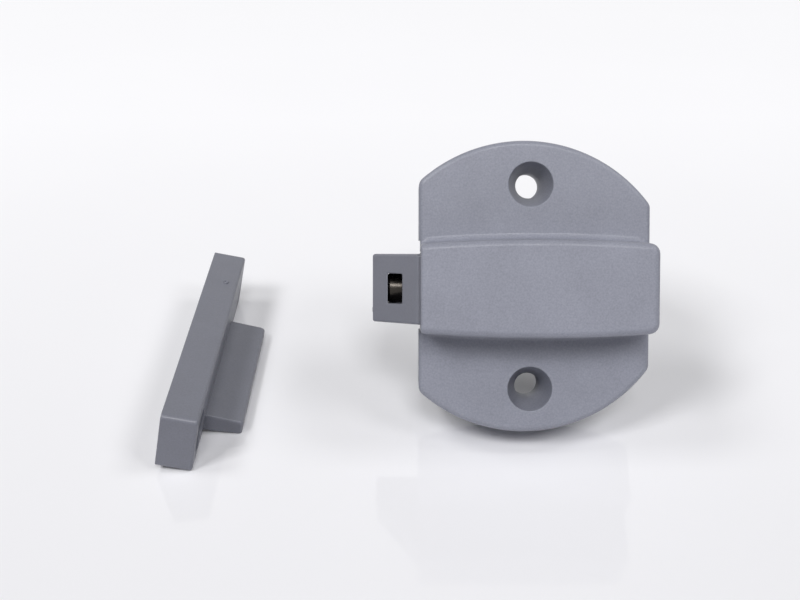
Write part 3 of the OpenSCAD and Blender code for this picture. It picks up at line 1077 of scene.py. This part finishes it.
@dataclass
class Housing:
    """The moulded housing: a round flange with two flats, and a crowned bar across it."""

    flange_arc_r: float = 30.4
    flange_arc_x: float = -1.3
    flange_half: float = 28.5
    flange_corner_r: float = 2.0
    flange_edge_r: float = 1.0
    flange_foot_r: float = 0.2
    barrel_arc_r: float = 279.2
    barrel_mid_x: float = 0.9
    barrel_half: float = 9.3
    barrel_foot: float = 8.0
    barrel_edge_r: float = 1.3
    barrel_corner_r: float = 2.0
    mouth_edge_r: float = 0.6
    mouth_half: float = 7.35
    mouth_top: float = 19.85
    mouth_depth: float = 1.2
    notch_half: float = 9.05
    root_r: float = 1.5
    root_taper: float = 1.2
    root_least: float = 0.05
    root_steps: int = 64
    hole_y: float = 20.0
    hole_r: float = 2.5
    head_r: float = 4.325
    head_wall: float = 1.5
    head_depth: float = 6.3
    rim_r: float = 0.2
    cell_depth: float = 10.1
    cell_rim: float = 2.2
    cell_corner_r: float = 0.5
    cell_low: float = 14.7
    boss_wall: float = 1.6
    rib_t: float = 1.2
    rib_pitch: float = 7.6
    rib_count: int = 5
    weld: float = 0.02
    layout: LatchLayout = LAYOUT

    def barrel_outline(self) -> LensOutline:
        """Returns the bar's outline, a hair short of the flange's flat side.

        Returns:
            The outline.
        """
        return LensOutline(
            self.barrel_arc_r, self.barrel_mid_x, self.barrel_half, self.layout.mouth_x,
            self.layout.flange_right - self.weld, self.mouth_edge_r, self.barrel_corner_r,
        )

    def hole_axes(self) -> list[Matrix]:
        """Returns the axes of the two fixing holes."""
        return [at(0, side.value * self.hole_y) for side in Side]

    def form_flange(self) -> Former:
        """Forms the flange with its rounded edges and corners.

        Returns:
            The former.
        """
        outline = LensOutline(
            self.flange_arc_r, self.flange_arc_x, self.flange_half, -self.layout.flange_left,
            self.layout.flange_right, self.flange_corner_r, self.flange_corner_r,
        )
        ends, radii = (0.0, self.layout.flange_t), (self.flange_foot_r, self.flange_edge_r)
        return Former().rounded(lambda margin: outline.points(margin, margin), ends, radii, steps=6)

    def form_barrel(self) -> Former:
        """Forms the crowned bar, its front edge sharper over the bolt's mouth.

        Returns:
            The former.
        """
        outline, top = self.barrel_outline(), self.layout.barrel_top
        heights = [self.barrel_foot, *rounding_heights(top, self.barrel_edge_r, steps=7)]
        heights += rounding_heights(top, self.mouth_edge_r, steps=4)
        rings: list[Ring] = []
        for z in sorted({round(z, 4) for z in heights}):
            margins = (inner_margin(z, top, radius) for radius in (self.barrel_edge_r, self.mouth_edge_r))
            rings.append(ring_at(outline.points(*margins), z))
        return Former().loft(rings)

    def root_section(self, x: float, side: Side) -> Ring:
        """Returns the cross section of the hollow rounding between the bar and the flange.

        Args:
            x: The place along the bar.
            side: Above or below the bar.

        Returns:
            The section's points.
        """
        ends = (x - self.layout.mouth_x, self.layout.flange_right - self.flange_edge_r - x)
        radius = self.root_r * min(1.0, max(self.root_least, min(ends) / self.root_taper))
        half = self.barrel_outline().height_at(x)
        face = self.layout.flange_t
        section = [(half - PAST, face - PAST), (half + radius + self.weld, face - PAST)]
        for turn in arc_angles(steps=7):
            across = half + radius + radius * math.cos(-QUARTER - turn)
            rise = face + radius + radius * math.sin(-QUARTER - turn)
            section.append((across - self.weld, rise - self.weld))
        section.append((half - PAST, face + radius))
        return [Vector((x, side.value * across, z)) for across, z in section]

    def form_root(self, side: Side) -> Former:
        """Forms the hollow rounding along one side of the bar.

        Args:
            side: The side of the bar.

        Returns:
            The former.
        """
        left = self.layout.mouth_x + self.weld * 2
        step = (self.layout.flange_right - self.flange_edge_r - left) / self.root_steps
        return Former().loft([self.root_section(left + step * i, side) for i in range(self.root_steps + 1)])

    def cut_mouth(self, piece: Piece) -> None:
        """Cuts the bolt's mouth, its channel and the wider room of its shoulders.

        Args:
            piece: The housing.
        """
        layout = self.layout
        low, wall, gap, drop = layout.cover_low, layout.wall_x, layout.slide_gap, layout.bolt_drop
        mouth = (layout.mouth_x - PAST, layout.mouth_x + self.mouth_depth)
        cut(piece, Former().block(mouth, self.mouth_half, (low, self.mouth_top)))
        channel, upward = (-layout.flange_left - PAST, wall), (low - self.weld, layout.bolt_high + gap)
        cut(piece, Former().block(channel, layout.bolt_half + gap, upward, -drop))
        room, top = (layout.shoulder_x - gap / 2, wall - self.weld), layout.shoulder_top + gap
        cut(piece, Former().block(room, layout.shoulder_half + gap, (low - 2 * self.weld, top), -drop))

    def cut_fixing_holes(self, piece: Piece) -> None:
        """Cuts the two countersunk holes, with softened rims.

        Args:
            piece: The housing.
        """
        face = self.layout.flange_t
        shank = [(-PAST, self.hole_r), (face - self.head_depth, self.hole_r)]
        head = [(face - self.head_wall, self.head_r), *flared_rim(face, self.head_r, self.rim_r)]
        cut(piece, Former().turned([*shank, *head], *self.hole_axes(), steps=96))

    def cut_cells(self, piece: Piece, tree: TreeRecipe) -> None:
        """Cuts the cells behind the flange, parted by upright ribs.

        Args:
            piece: The housing.
            tree: The tree that parts a block of cells by ribs.
        """
        rim, depth, span = self.cell_rim, self.cell_depth, self.flange_arc_r
        outline = LensOutline(
            span - rim, self.flange_arc_x, self.flange_half - rim, -self.layout.flange_left + rim,
            self.layout.flange_right - rim, self.cell_corner_r, self.cell_corner_r,
            arc_steps=48, corner_steps=3,
        )
        cells = Former().column(outline.points(0, 0), -PAST, depth).finish("cells")
        cut(cells, Former().block((-span, span), self.cell_low, (-2 * PAST, depth + PAST)))
        boss_r = self.head_r + self.boss_wall
        cut(cells, Former().rod(boss_r, -2 * PAST, depth + 2 * PAST, *self.hole_axes(), steps=72))
        tree.bake(cells, {
            "Ribs": self.rib_count,
            "First": (-self.rib_pitch * (self.rib_count - 1) / 2, 0.0, depth / 2),
            "Step": (self.rib_pitch, 0.0, 0.0),
            "Rib size": (self.rib_t, 2 * self.flange_half, depth + 4 * PAST),
        })
        combine(piece, cells, "DIFFERENCE")

    def cut_back(self, piece: Piece) -> None:
        """Cuts the cover's seat, the screws' pilot holes and the pins' holes.

        Args:
            piece: The housing.
        """
        layout = self.layout
        gap = layout.cover_gap
        half = layout.cover_half + gap
        corners = rectangle(layout.cover_left - gap, layout.cover_right + gap, -half, half)
        seat = rounded_outline(corners, layout.cover_corner_r, margin=0, steps=6)
        cut(piece, Former().column(seat, -PAST, layout.cover_top))
        tongue, top = (layout.mouth_x - PAST, layout.cover_left + PAST), layout.cover_top - self.weld
        cut(piece, Former().block(tongue, layout.bolt_half + gap, (-2 * PAST, top)))
        pilot_r, pin_r = layout.screw_d / 2 + self.weld, layout.pin_d / 2 + self.weld
        holes = Former().rod(pilot_r, PAST, layout.screw_l + PAST, *layout.screw_axes(), steps=24)
        start = layout.wall_x - PAST
        cut(piece, holes.rod(pin_r, 0, layout.pin_end_x - start, *layout.spring_axes(start), steps=24))

    def build(self, cell_tree: TreeRecipe) -> None:
        """Builds the housing, with the tree that parts a block of cells by ribs.

        Args:
            cell_tree: The tree that makes the ribbed cells.
        """
        layout = self.layout
        housing = self.form_flange().finish("housing")
        notch = (-layout.flange_left - PAST, layout.mouth_x + self.weld)
        cut(housing, Former().block(notch, self.notch_half, (-PAST, layout.flange_t + PAST)))
        for former in (self.form_barrel(), *(self.form_root(side) for side in Side)):
            join(housing, former)
        self.cut_mouth(housing)
        self.cut_fixing_holes(housing)
        self.cut_cells(housing, cell_tree)
        self.cut_back(housing)
        deliver(housing, housing_place(), "case", HOUSING_FINISH, "housing")


@dataclass
class BackCover:
    """The cover behind the bolt, and the four small screws that hold it."""

    edge_r: float = 0.2
    tongue_corner_r: float = 0.3
    sink_r: float = 2.05
    sink_h: float = 1.2
    sink_flare: float = 0.3
    head_r: float = 1.95
    head_h: float = 1.2
    head_bevel: float = 0.1
    head_bevel_h: float = 0.08
    slot_l: float = 2.42
    slot_w: float = 0.62
    slot_h: float = 0.72
    thread_pitch: float = 0.8
    thread_h: float = 0.12
    thread_start: float = 0.3
    point_l: float = 0.7
    point_r: float = 0.15
    seed: int = 4
    weld: float = 0.01
    layout: LatchLayout = LAYOUT

    def build_cover(self) -> None:
        """Builds the cover with its tongue under the bolt's mouth."""
        layout = self.layout
        low, high = layout.cover_low, layout.cover_top
        along, radii = (layout.cover_left, layout.cover_right), (layout.cover_corner_r, self.edge_r)
        cover = Former().slab(along, layout.cover_half, (low, high), *radii).finish("back_cover")
        along, upward = (layout.mouth_x, layout.cover_left + PAST), (low + self.weld, high - self.weld)
        radii = (self.tongue_corner_r, self.edge_r)
        join(cover, Former().slab(along, layout.bolt_half, upward, *radii))
        shank = layout.screw_d / 2 + layout.cover_gap
        sink = [(-PAST, self.sink_r + self.sink_flare), (low, self.sink_r), (low + self.sink_h, shank)]
        cut(cover, Former().turned([*sink, (high + PAST, shank)], *layout.screw_axes(), steps=40))
        deliver(cover, housing_place(), "case", COVER_FINISH, "back_cover")

    def form_screw(self) -> Piece:
        """Forms one screw at the origin, head down, as the screws' pattern.

        Returns:
            The piece, in millimetres.
        """
        crest = self.layout.screw_d / 2
        root = crest - self.thread_h
        length = self.layout.screw_l - self.layout.cover_low
        profile = [(0, self.head_r - self.head_bevel), (self.head_bevel_h, self.head_r)]
        profile.append((self.head_h, crest))
        for i in range(int((length - self.head_h - PAST) / self.thread_pitch)):
            foot = self.head_h + self.thread_start + i * self.thread_pitch
            profile += [(foot, root), (foot + self.thread_pitch / 2, crest)]
        profile += [(length - self.point_l, root), (length, self.point_r)]
        screw = Former().turned(profile, at(0, 0), steps=28).finish("screw_pattern")
        for across, along in ((self.slot_l, self.slot_w), (self.slot_w, self.slot_l)):
            cut(screw, Former().block((-across / 2, across / 2), along / 2, (-PAST, self.slot_h)))
        return screw

    def build_screws(self) -> None:
        """Sets a screw in each of the cover's holes."""
        places = self.layout.screw_places()
        mesh = bpy.data.meshes.new("cover_screws")
        mesh.from_pydata([(x, y, self.layout.cover_low) for x, y in places], [], [])
        screws = linked("cover_screws", mesh)
        pattern = self.form_screw()
        values = {"Screw": pattern, "Seed": self.seed, "Finish": material_of(ZINC_FINISH)}
        seated_screws_tree().bake(screws, values)
        bpy.data.objects.remove(pattern, do_unlink=True)
        nodes = [f"cover_screw_{i + 1}" for i in range(len(places))]
        deliver(screws, housing_place(), "case", ZINC_FINISH, *nodes, sharp_angle=32)

    def build(self) -> None:
        """Builds the cover and its screws."""
        self.build_cover()
        self.build_screws()


@dataclass
class Bolt:
    """The sloped bolt, the magnet in its nose and the plug that holds the magnet."""

    nose_height: float = 5.8
    slope_run: float = 8.7
    edge_r: float = 0.5
    shoulder_corner_r: float = 0.3
    shoulder_edge_r: float = 0.25
    window_gap: float = 3.0
    window_l: float = 2.9
    window_half: float = 2.95
    window_corner_r: float = 0.25
    window_rim: float = 0.22
    window_throat: float = 0.3
    window_flare: Point = (1.2, 1.0)
    magnet_rise: float = 5.45
    magnet_r: float = 3.0
    magnet_l: float = 12.0
    magnet_chamfer: float = 0.4
    magnet_soft: float = 0.08
    plug_l: float = 5.0
    plug_lead: float = 0.2
    plug_chamfer: float = 0.25
    pip_rim_r: float = 0.5
    pip_r: float = 0.4
    pip_depth: float = 0.15
    press_gap: float = 0.02
    gate_r: float = 0.55
    gate_y: float = -4.4
    gate_z: float = 7.2
    gate_h: float = 0.12
    gate_head: float = 0.7
    weld: float = 0.01
    layout: LatchLayout = LAYOUT

    @property
    def window_x(self) -> float:
        """X of the window's side nearest the tip, where the magnet starts."""
        return self.layout.tip_x + self.window_gap

    def magnet_axis(self, x: float) -> Matrix:
        """Returns the axes whose Z runs along the magnet, with their origin at a place along it."""
        return at(x, 0, self.layout.bolt_low + self.magnet_rise) @ ALONG_X

    def slope_height(self, x: float) -> float:
        """Returns the height of the bolt's slope at a place along it.

        Args:
            x: The place along the bolt.

        Returns:
            The height of the slope there.
        """
        layout = self.layout
        nose = layout.bolt_low + self.nose_height
        rise = (layout.bolt_high - nose) / self.slope_run
        return min(nose + (x - layout.tip_x) * rise, layout.bolt_high)

    def form_body(self) -> Piece:
        """Forms the bolt's body with rounded edges, its shoulders and the mark of its gate.

        Returns:
            The piece, in millimetres.
        """
        layout = self.layout
        low, high, half = layout.bolt_low, layout.bolt_high, layout.bolt_half
        profile = [
            (layout.tip_x, low), (layout.rear_x, low), (layout.rear_x, high),
            (layout.tip_x + self.slope_run, high), (layout.tip_x, low + self.nose_height),
        ]
        body = Former().rounded(
            lambda margin: rounded_outline(profile, self.edge_r, margin, steps=5),
            (-half, half), (self.edge_r, self.edge_r), steps=5, axis=1,
        ).finish("bolt")
        along, top = (layout.shoulder_x, layout.rear_x - self.weld), layout.shoulder_top
        radii = (self.shoulder_corner_r, self.shoulder_edge_r)
        join(body, Former().slab(along, layout.shoulder_half, (low + self.weld, top), *radii))
        radius, height = self.gate_r, self.gate_h
        gate = [(-PAST, radius), (height / 2, radius), (height, radius * self.gate_head)]
        mark = at(layout.tip_x, self.gate_y, self.gate_z) @ ALONG_X.inverted()
        join(body, Former().turned(gate, mark, steps=20))
        return body

    def cut_window(self, body: Piece) -> None:
        """Cuts the window in front of the magnet, with its rim on the slope softened.

        Args:
            body: The bolt.
        """
        half_l, half_w, rim = self.window_l / 2, self.window_half, self.window_rim
        middle = Vector((self.window_x + half_l, 0))
        corners = rectangle(self.window_x, self.window_x + self.window_l, -half_w, half_w)
        outline = rounded_outline(corners, self.window_corner_r, margin=0, steps=3)
        rings = [ring_at(outline, 0.0)]
        for grown, rise in ((0.0, -self.window_throat), (0.0, -rim), (rim, 0.0), self.window_flare):
            ring: Ring = []
            for point in outline:
                away = Vector(point) - middle
                wide = middle + Vector((away.x * (1 + grown / half_l), away.y * (1 + grown / half_w)))
                ring.append(Vector((wide.x, wide.y, self.slope_height(wide.x) + rise)))
            rings.append(ring)
        cut(body, Former().loft(rings))

    def cut_bores(self, body: Piece) -> None:
        """Cuts the magnet's bore and the two springs' seats from the back.

        Args:
            body: The bolt.
        """
        layout, rear = self.layout, self.layout.rear_x + PAST
        bore_r, axis = self.magnet_r + self.press_gap, self.magnet_axis(self.window_x)
        cut(body, Former().rod(bore_r, self.weld, rear - self.window_x, axis, steps=64))
        axes = layout.spring_axes(layout.seat_x, layout.bolt_drop)
        cut(body, Former().rod(layout.spring_room, 0, rear - layout.seat_x, *axes, steps=48))

    def form_magnet(self) -> Former:
        """Forms the plated magnet with chamfered ends.

        Returns:
            The former.
        """
        radius, bevel, soft = self.magnet_r, self.magnet_chamfer, self.magnet_soft
        profile = [
            (0, radius - bevel - soft), (soft / 3, radius - bevel),
            (bevel, radius - soft / 3), (bevel + soft, radius),
        ]
        profile += [(self.magnet_l - z, r) for z, r in reversed(profile)]
        return Former().turned(profile, self.magnet_axis(self.window_x), steps=96)

    def form_plug(self) -> Former:
        """Forms the plug behind the magnet, with a chamfer and a small pip left by moulding.

        Returns:
            The former.
        """
        radius, length, lead, chamfer = self.magnet_r, self.plug_l, self.plug_lead, self.plug_chamfer
        profile = [
            (0, radius - lead), (lead, radius), (length - chamfer, radius), (length, radius - chamfer),
            (length, self.pip_rim_r), (length - self.pip_depth, self.pip_r),
        ]
        return Former().turned(profile, self.magnet_axis(self.window_x + self.magnet_l), steps=64)

    def build(self) -> None:
        """Builds the bolt, its magnet and the plug, a little below the housing's middle line."""
        body = self.form_body()
        self.cut_window(body)
        self.cut_bores(body)
        place = housing_place() @ at(0, -self.layout.bolt_drop)
        deliver(body, place, "bolt_unit", BOLT_FINISH, "bolt")
        magnet = self.form_magnet().finish("bolt_magnet")
        # The magnet wears painted shade: its near-black colour stands in for the shade and dark reflections
        # in its window
        deliver(magnet, place, "bolt_unit", NICKEL_PAINTED_SHADE_FINISH, "bolt_magnet", sharp_angle=50)
        plug = self.form_plug().finish("magnet_plug")
        deliver(plug, place, "bolt_unit", PLUG_FINISH, "magnet_plug", sharp_angle=35)


@dataclass
class ReturnAction:
    """The two springs that push the bolt out, their guide pins and the buffer behind the bolt."""

    turns: float = 12.0
    wire_d: float = 0.35
    spring_l: float = 23.3
    travel: float = 9.0
    rings_per_turn: int = 28
    wire_sides: int = 10
    pin_start_x: float = 6.8
    buffer_corner_r: float = 0.2
    buffer_edge_r: float = 0.25
    layout: LatchLayout = LAYOUT

    def build_spring(self, side: Side, tree: TreeRecipe) -> None:
        """Winds one spring at one length; the real spring shortens as the bolt slides back.

        Args:
            side: The upper or the lower spring.
            tree: The tree that winds a wire.
        """
        layout, name = self.layout, f"return_spring_{side.name.lower()}"
        spring = Former().finish(name)
        tree.bake(spring, {
            "Turns": self.turns,
            "Coil radius": (layout.spring_d - self.wire_d) / 2,
            "Wire radius": self.wire_d / 2,
            "Length": self.spring_l - self.wire_d,
            "Rings per turn": self.rings_per_turn,
            "Wire sides": self.wire_sides,
            "Finish": material_of(SPRING_FINISH),
        })
        place = housing_place() @ layout.spring_axis(side, layout.seat_x + self.wire_d / 2)
        deliver(spring, place, "case", SPRING_FINISH, name, sharp_angle=60)
        anchor = housing_place() @ Vector((layout.wall_x, 0, layout.spring_z))
        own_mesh(spring)

    def build_pin(self, side: Side) -> None:
        """Builds one guide pin with a rounded free end.

        Args:
            side: The side of the magnet's bore that the pin stands on.
        """
        layout, name = self.layout, f"spring_pin_{side.name.lower()}"
        radius = layout.pin_d / 2
        # Angles round the free end, from the small flat in its middle to the pin's side
        angles = (0.35, 0.7, 1.05, 1.3, QUARTER)
        profile = [(radius * (1 - math.cos(a)), radius * math.sin(a)) for a in angles]
        profile.append((layout.pin_end_x - self.pin_start_x, radius))
        axis = layout.spring_axis(side, self.pin_start_x)
        pin = Former().turned(profile, axis, steps=40).finish(name)
        deliver(pin, housing_place(), "case", PIN_FINISH, name, sharp_angle=40)

    def build_buffer(self) -> None:
        """Builds the rubber buffer with room for the springs."""
        layout = self.layout
        along, upward = (layout.buffer_x, layout.wall_x), (layout.bolt_low, layout.bolt_high)
        radii = (self.buffer_corner_r, self.buffer_edge_r)
        buffer = Former().slab(along, layout.bolt_half, upward, *radii).finish("bolt_buffer")
        start = layout.buffer_x - PAST
        axes = layout.spring_axes(start, layout.bolt_drop)
        cut(buffer, Former().rod(layout.spring_room, 0, layout.wall_x + PAST - start, *axes, steps=40))
        place = housing_place() @ at(0, -layout.bolt_drop)
        deliver(buffer, place, "case", RUBBER_FINISH, "bolt_buffer")

    def build(self) -> None:
        """Builds both springs, both pins and the buffer."""
        tree = coiled_wire_tree()
        for side in Side:
            self.build_spring(side, tree)
            self.build_pin(side)
        self.build_buffer()


@dataclass
class Striker:
    """The striker: a screwed plate with a wedge-shaped lip, on axes of its own."""

    length: float = 65.0
    height: float = 12.5
    thickness: float = 7.3
    corner_r: float = 0.3
    front_r: float = 0.6
    back_r: float = 0.15
    hole_inset: float = 5.8
    hole_r: float = 2.25
    head_r: float = 4.3
    head_wall: float = 0.6
    head_depth: float = 2.7
    rim_r: float = 0.15
    lip_start: float = 12.4
    lip_l: float = 35.8
    lip_reach: float = 7.9
    lip_upper: Point = (5.0, 4.6)
    lip_lower: Point = (0.75, 1.62)
    lip_edge_r: float = 0.6
    lip_end_r: float = 0.25
    cell_depth: float = 4.5
    cell_l: float = 8.4
    cell_count: int = 4
    cell_wall: float = 2.0
    rib_t: float = 1.2
    gate_x: float = -2.7
    gate_y: float = 51.9
    gate_r: float = 0.6

    def form_plate(self) -> Former:
        """Forms the plate, drawn from its back to its rounded front.

        Returns:
            The former.
        """
        corners = rectangle(0, self.length, 0, self.height)
        corner_r = self.corner_r + self.front_r
        return Former().rounded(
            lambda margin: rounded_outline(corners, corner_r, margin, steps=5),
            (-self.thickness, 0), (self.back_r, self.front_r), steps=5, axis=0,
        )

    def form_lip(self) -> Former:
        """Forms the lip, its outer edge more rounded than its two ends.

        Returns:
            The former.
        """
        edge_r, end_r = self.lip_edge_r, self.lip_end_r
        rings: list[Ring] = []
        for angle in arc_angles(steps=5):
            pulled = end_r * (1 - math.sin(angle))
            rings.append(self.lip_ring(pulled, pulled, end_r * (1 - math.cos(angle)), self.lip_lower))
        for angle in arc_angles(steps=6):
            outer, end = edge_r * (1 - math.cos(angle)), end_r * (1 - math.cos(angle))
            rings.append(self.lip_ring(outer, end, -edge_r * (1 - math.sin(angle)), self.lip_upper))
        return Former().loft(rings)

    def lip_ring(self, outer: float, end: float, rise: float, face: Point) -> Ring:
        """Returns one ring of the lip, which starts inside the plate.

        Args:
            outer: How far its outer side is drawn in.
            end: How far its two ends are drawn in.
            rise: Its height over the face that it follows.
            face: Height of that face at the plate and at the lip's full reach.

        Returns:
            The ring's points.
        """
        start, stop = self.lip_start + end, self.lip_start + self.lip_l - end
        corners = rectangle(-self.thickness / 2, self.lip_reach - outer, start, stop)
        root, slope = face[0], (face[1] - face[0]) / self.lip_reach
        outline = rounded_outline(corners, self.lip_edge_r, margin=0, steps=5)
        return [Vector((x, y, root + slope * max(x, 0.0) + rise)) for x, y in outline]

    def cut_holes(self, piece: Piece) -> None:
        """Cuts the two countersunk holes from the front.

        Args:
            piece: The striker.
        """
        shank = [(-self.thickness - PAST, self.hole_r), (-self.head_depth, self.hole_r)]
        head = [(-self.head_wall, self.head_r), *flared_rim(0, self.head_r, self.rim_r)]
        rows = (self.hole_inset, self.length - self.hole_inset)
        axes = [at(0, y, self.height / 2) @ ALONG_X for y in rows]
        cut(piece, Former().turned([*shank, *head], *axes, steps=72))

    def cut_cells(self, piece: Piece, tree: TreeRecipe) -> None:
        """Cuts the cells in the plate's back, parted by ribs.

        Args:
            piece: The striker.
            tree: The tree that parts a block of cells by ribs.
        """
        pitch, back = self.cell_l + self.rib_t, -self.thickness
        span = self.cell_count * pitch - self.rib_t
        first = (self.length - span) / 2
        along, wall = (back - PAST, back + self.cell_depth), self.cell_wall
        block = Former().block(along, span / 2, (wall, self.height - wall), self.length / 2)
        cells = block.finish("cells")
        tree.bake(cells, {
            "Ribs": self.cell_count - 1,
            "First": (back, first + pitch - self.rib_t / 2, self.height / 2),
            "Step": (0.0, pitch, 0.0),
            "Rib size": (self.thickness * 2, self.rib_t, self.height),
        })
        combine(piece, cells, "DIFFERENCE")

    def form_gate(self) -> Former:
        """Forms the raised ring that the mould's gate left on the upper side.

        Returns:
            The former.
        """
        # Heights in millimetres, and radii as shares of the gate's own
        ring = ((-0.3, 1.0), (0.1, 1.0), (0.24, 0.85), (0.24, 0.65), (0.1, 0.5), (0.02, 0.4))
        profile = [(height, self.gate_r * share) for height, share in ring]
        return Former().turned(profile, at(self.gate_x, self.gate_y, self.height), steps=24)

    def build(self, cell_tree: TreeRecipe) -> None:
        """Builds the striker, with the tree that parts a block of cells by ribs.

        Args:
            cell_tree: The tree that makes the ribbed cells.
        """
        striker = self.form_plate().finish("striker")
        join(striker, self.form_lip())
        self.cut_holes(striker)
        self.cut_cells(striker, cell_tree)
        join(striker, self.form_gate())
        place = striker_place(self.length, self.height, self.thickness)
        deliver(striker, place, "case", STRIKER_FINISH, "striker")


@dataclass(frozen=True)
class PhotoCamera:
    """The camera that took the photograph, as worked out from its outlines and reflections.

    Attributes:
        focal_px: Focal length in pixels of the 800 wide image.
        place: The camera's place in millimetres.
        pitch: Angle that it looks down by.
        yaw: Angle that it is turned right by.
        roll: Angle that the image is turned by.
        image_width: Width of the image in pixels.
        sensor_mm: Width of the sensor.
        near: Nearest distance that it sees, in metres.
    """

    focal_px: float = 1169.7
    place: Triple = (-23.503, -208.048, 121.957)
    pitch: float = 31.125
    yaw: float = -0.575
    roll: float = 0.235
    image_width: int = 800
    sensor_mm: float = 36.0
    near: float = 0.01

    def build(self) -> None:
        """Creates the camera and makes it the scene's."""
        data = bpy.data.cameras.new("photo_camera")
        data.sensor_width = self.sensor_mm
        data.lens = self.focal_px * self.sensor_mm / self.image_width
        data.clip_start = self.near
        pitch, yaw, roll = (math.radians(angle) for angle in (self.pitch, self.yaw, self.roll))
        reach = math.cos(pitch)
        forward = Vector((math.sin(yaw) * reach, math.cos(yaw) * reach, -math.sin(pitch)))
        level = Vector((math.cos(yaw), -math.sin(yaw), 0))
        down = forward.cross(level)
        right = level * math.cos(roll) + down * math.sin(roll)
        upward = level * math.sin(roll) - down * math.cos(roll)
        camera = linked("photo_camera", data)
        turn = Matrix((right, upward, -forward)).transposed().to_4x4()
        camera.matrix_world = Matrix.Translation(Vector(self.place) * MM) @ turn
        bpy.context.scene.camera = camera


@dataclass(frozen=True)
class Softbox:
    """One soft square lamp that faces the latch.

    Attributes:
        name: The lamp's name.
        azimuth: Its direction from the front towards the left, in degrees.
        elevation: Its direction above the table, in degrees.
        size: Its side in metres.
        power: Its power in watts.
        distance: Its distance in metres.
    """

    name: str
    azimuth: float
    elevation: float
    size: float
    power: float
    distance: float = 3.0

    def build(self, target: Vector) -> None:
        """Creates the lamp, turned to the point that it faces.

        Args:
            target: The point that the lamp faces.
        """
        data = bpy.data.lights.new(self.name, "AREA")
        data.shape = "SQUARE"
        data.size = self.size
        data.energy = self.power
        azimuth, elevation = math.radians(self.azimuth), math.radians(self.elevation)
        level = math.cos(elevation)
        toward = Vector((-math.sin(azimuth) * level, -math.cos(azimuth) * level, math.sin(elevation)))
        lamp = linked(self.name, data)
        lamp.location = target + toward * self.distance
        lamp.rotation_euler = (-toward).to_track_quat("-Z", "Y").to_euler()


@dataclass
class Studio:
    """The pale glossy table, the lamps over it and the photograph's camera."""

    table_half: float = 1.6
    table_tone: Triple = (0.915, 0.912, 0.942)
    tone_share: Point = (0.99, 1.0)
    tone_mm: float = 60.0
    roughness: Point = (0.03, 0.06)
    smear_mm: float = 25.0
    target: Triple = (-0.02, 0.0, 0.0)
    room_light: float = 0.02
    # Painted reflection on the table: the Y span, in metres, over which a camera-only glow grows, and its
    # greatest strength
    painted_reflection_span: Point = (-0.06, 0.15)
    painted_reflection: float = 0.15
    lamps: list[Softbox] = field(default_factory=lambda: [
        Softbox("softbox_left", 45, 49, 0.85, 33.5),
        Softbox("softbox_front", -6, 50, 0.85, 30.5),
        Softbox("softbox_right", -55, 45, 0.8, 13.5),
        Softbox("softbox_far_left", 90, 60, 0.82, 14.5),
        Softbox("softbox_far_right", -90, 55, 0.82, 13.5),
    ])

    def table_material(self) -> Material:
        """Builds the table's finish: white gloss, with a painted reflection that only the camera sees,
        growing towards the back.

        Returns:
            The material.
        """
        recipe = MaterialRecipe("table_gloss")
        back = recipe.add("ShaderNodeSeparateXYZ", {"Vector": recipe.place}).outputs["Y"]
        seen = recipe.add("ShaderNodeLightPath").outputs["Is Camera Ray"]
        # Painted reflection: a glow that only the camera sees, growing towards the back, stands in for the
        # backdrop's reflection in the gloss
        rise = recipe.spread(back, self.painted_reflection_span, (0.0, self.painted_reflection))
        tone = recipe.spread(recipe.noise(self.tone_mm), MIDDLING, self.tone_share)
        recipe.feed(
            Base_Color=recipe.shaded(self.table_tone, tone),
            Roughness=recipe.spread(recipe.noise(self.smear_mm), MIDDLING, self.roughness),
            IOR=1.45,
            Emission_Color=WHITE,
            Emission_Strength=recipe.math("MULTIPLY", rise, seen),
        )
        return recipe.material

    def build_table(self, height: float) -> None:
        """Lays the table at the height that the latch stands on.

        Args:
            height: The height of the table's top.
        """
        half = self.table_half
        mesh = bpy.data.meshes.new("table")
        corners = [(x, y, height) for x, y in rectangle(-half, half, -half, half)]
        mesh.from_pydata(corners, [], [(0, 1, 2, 3)])
        mesh.materials.append(self.table_material())
        linked("table", mesh)

    def build_world(self) -> None:
        """Lights the room evenly, and whitens what the camera and mirrors see of it."""
        world = bpy.data.worlds.new("studio_room")
        world.use_nodes = True
        recipe = Recipe(world.node_tree)
        rays = recipe.add("ShaderNodeLightPath").outputs
        seen = rays["Is Camera Ray"]
        for name in ("Is Glossy Ray", "Is Transmission Ray"):
            seen = recipe.math("MAXIMUM", seen, rays[name])
        level = recipe.add("ShaderNodeMapRange", {"To Min": self.room_light, "To Max": 1.0, "Value": seen})
        background = world.node_tree.nodes["Background"]
        recipe.put(background, "Strength", level)
        recipe.put(background, "Color", WHITE)
        bpy.context.scene.world = world

    def build(self, height: float) -> None:
        """Builds the table at that height, the lamps, the room and the camera.

        Args:
            height: The height of the table's top.
        """
        self.build_table(height)
        for lamp in self.lamps:
            lamp.build(Vector(self.target))
        self.build_world()
        PhotoCamera().build()
        bpy.context.scene.view_settings.view_transform = "Standard"


def main() -> None:
    """Builds the latch's sub-assemblies in order, then the studio."""
    logging.basicConfig(level=logging.INFO, format="%(name)s: %(message)s")
    cell_tree = ribbed_cells_tree()
    Housing().build(cell_tree)
    BackCover().build()
    Bolt().build()
    ReturnAction().build()
    Striker().build(cell_tree)
    Studio().build(min(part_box(node)[0].z for node in frame["nodes"]))


if __name__ == "__main__":
    main()
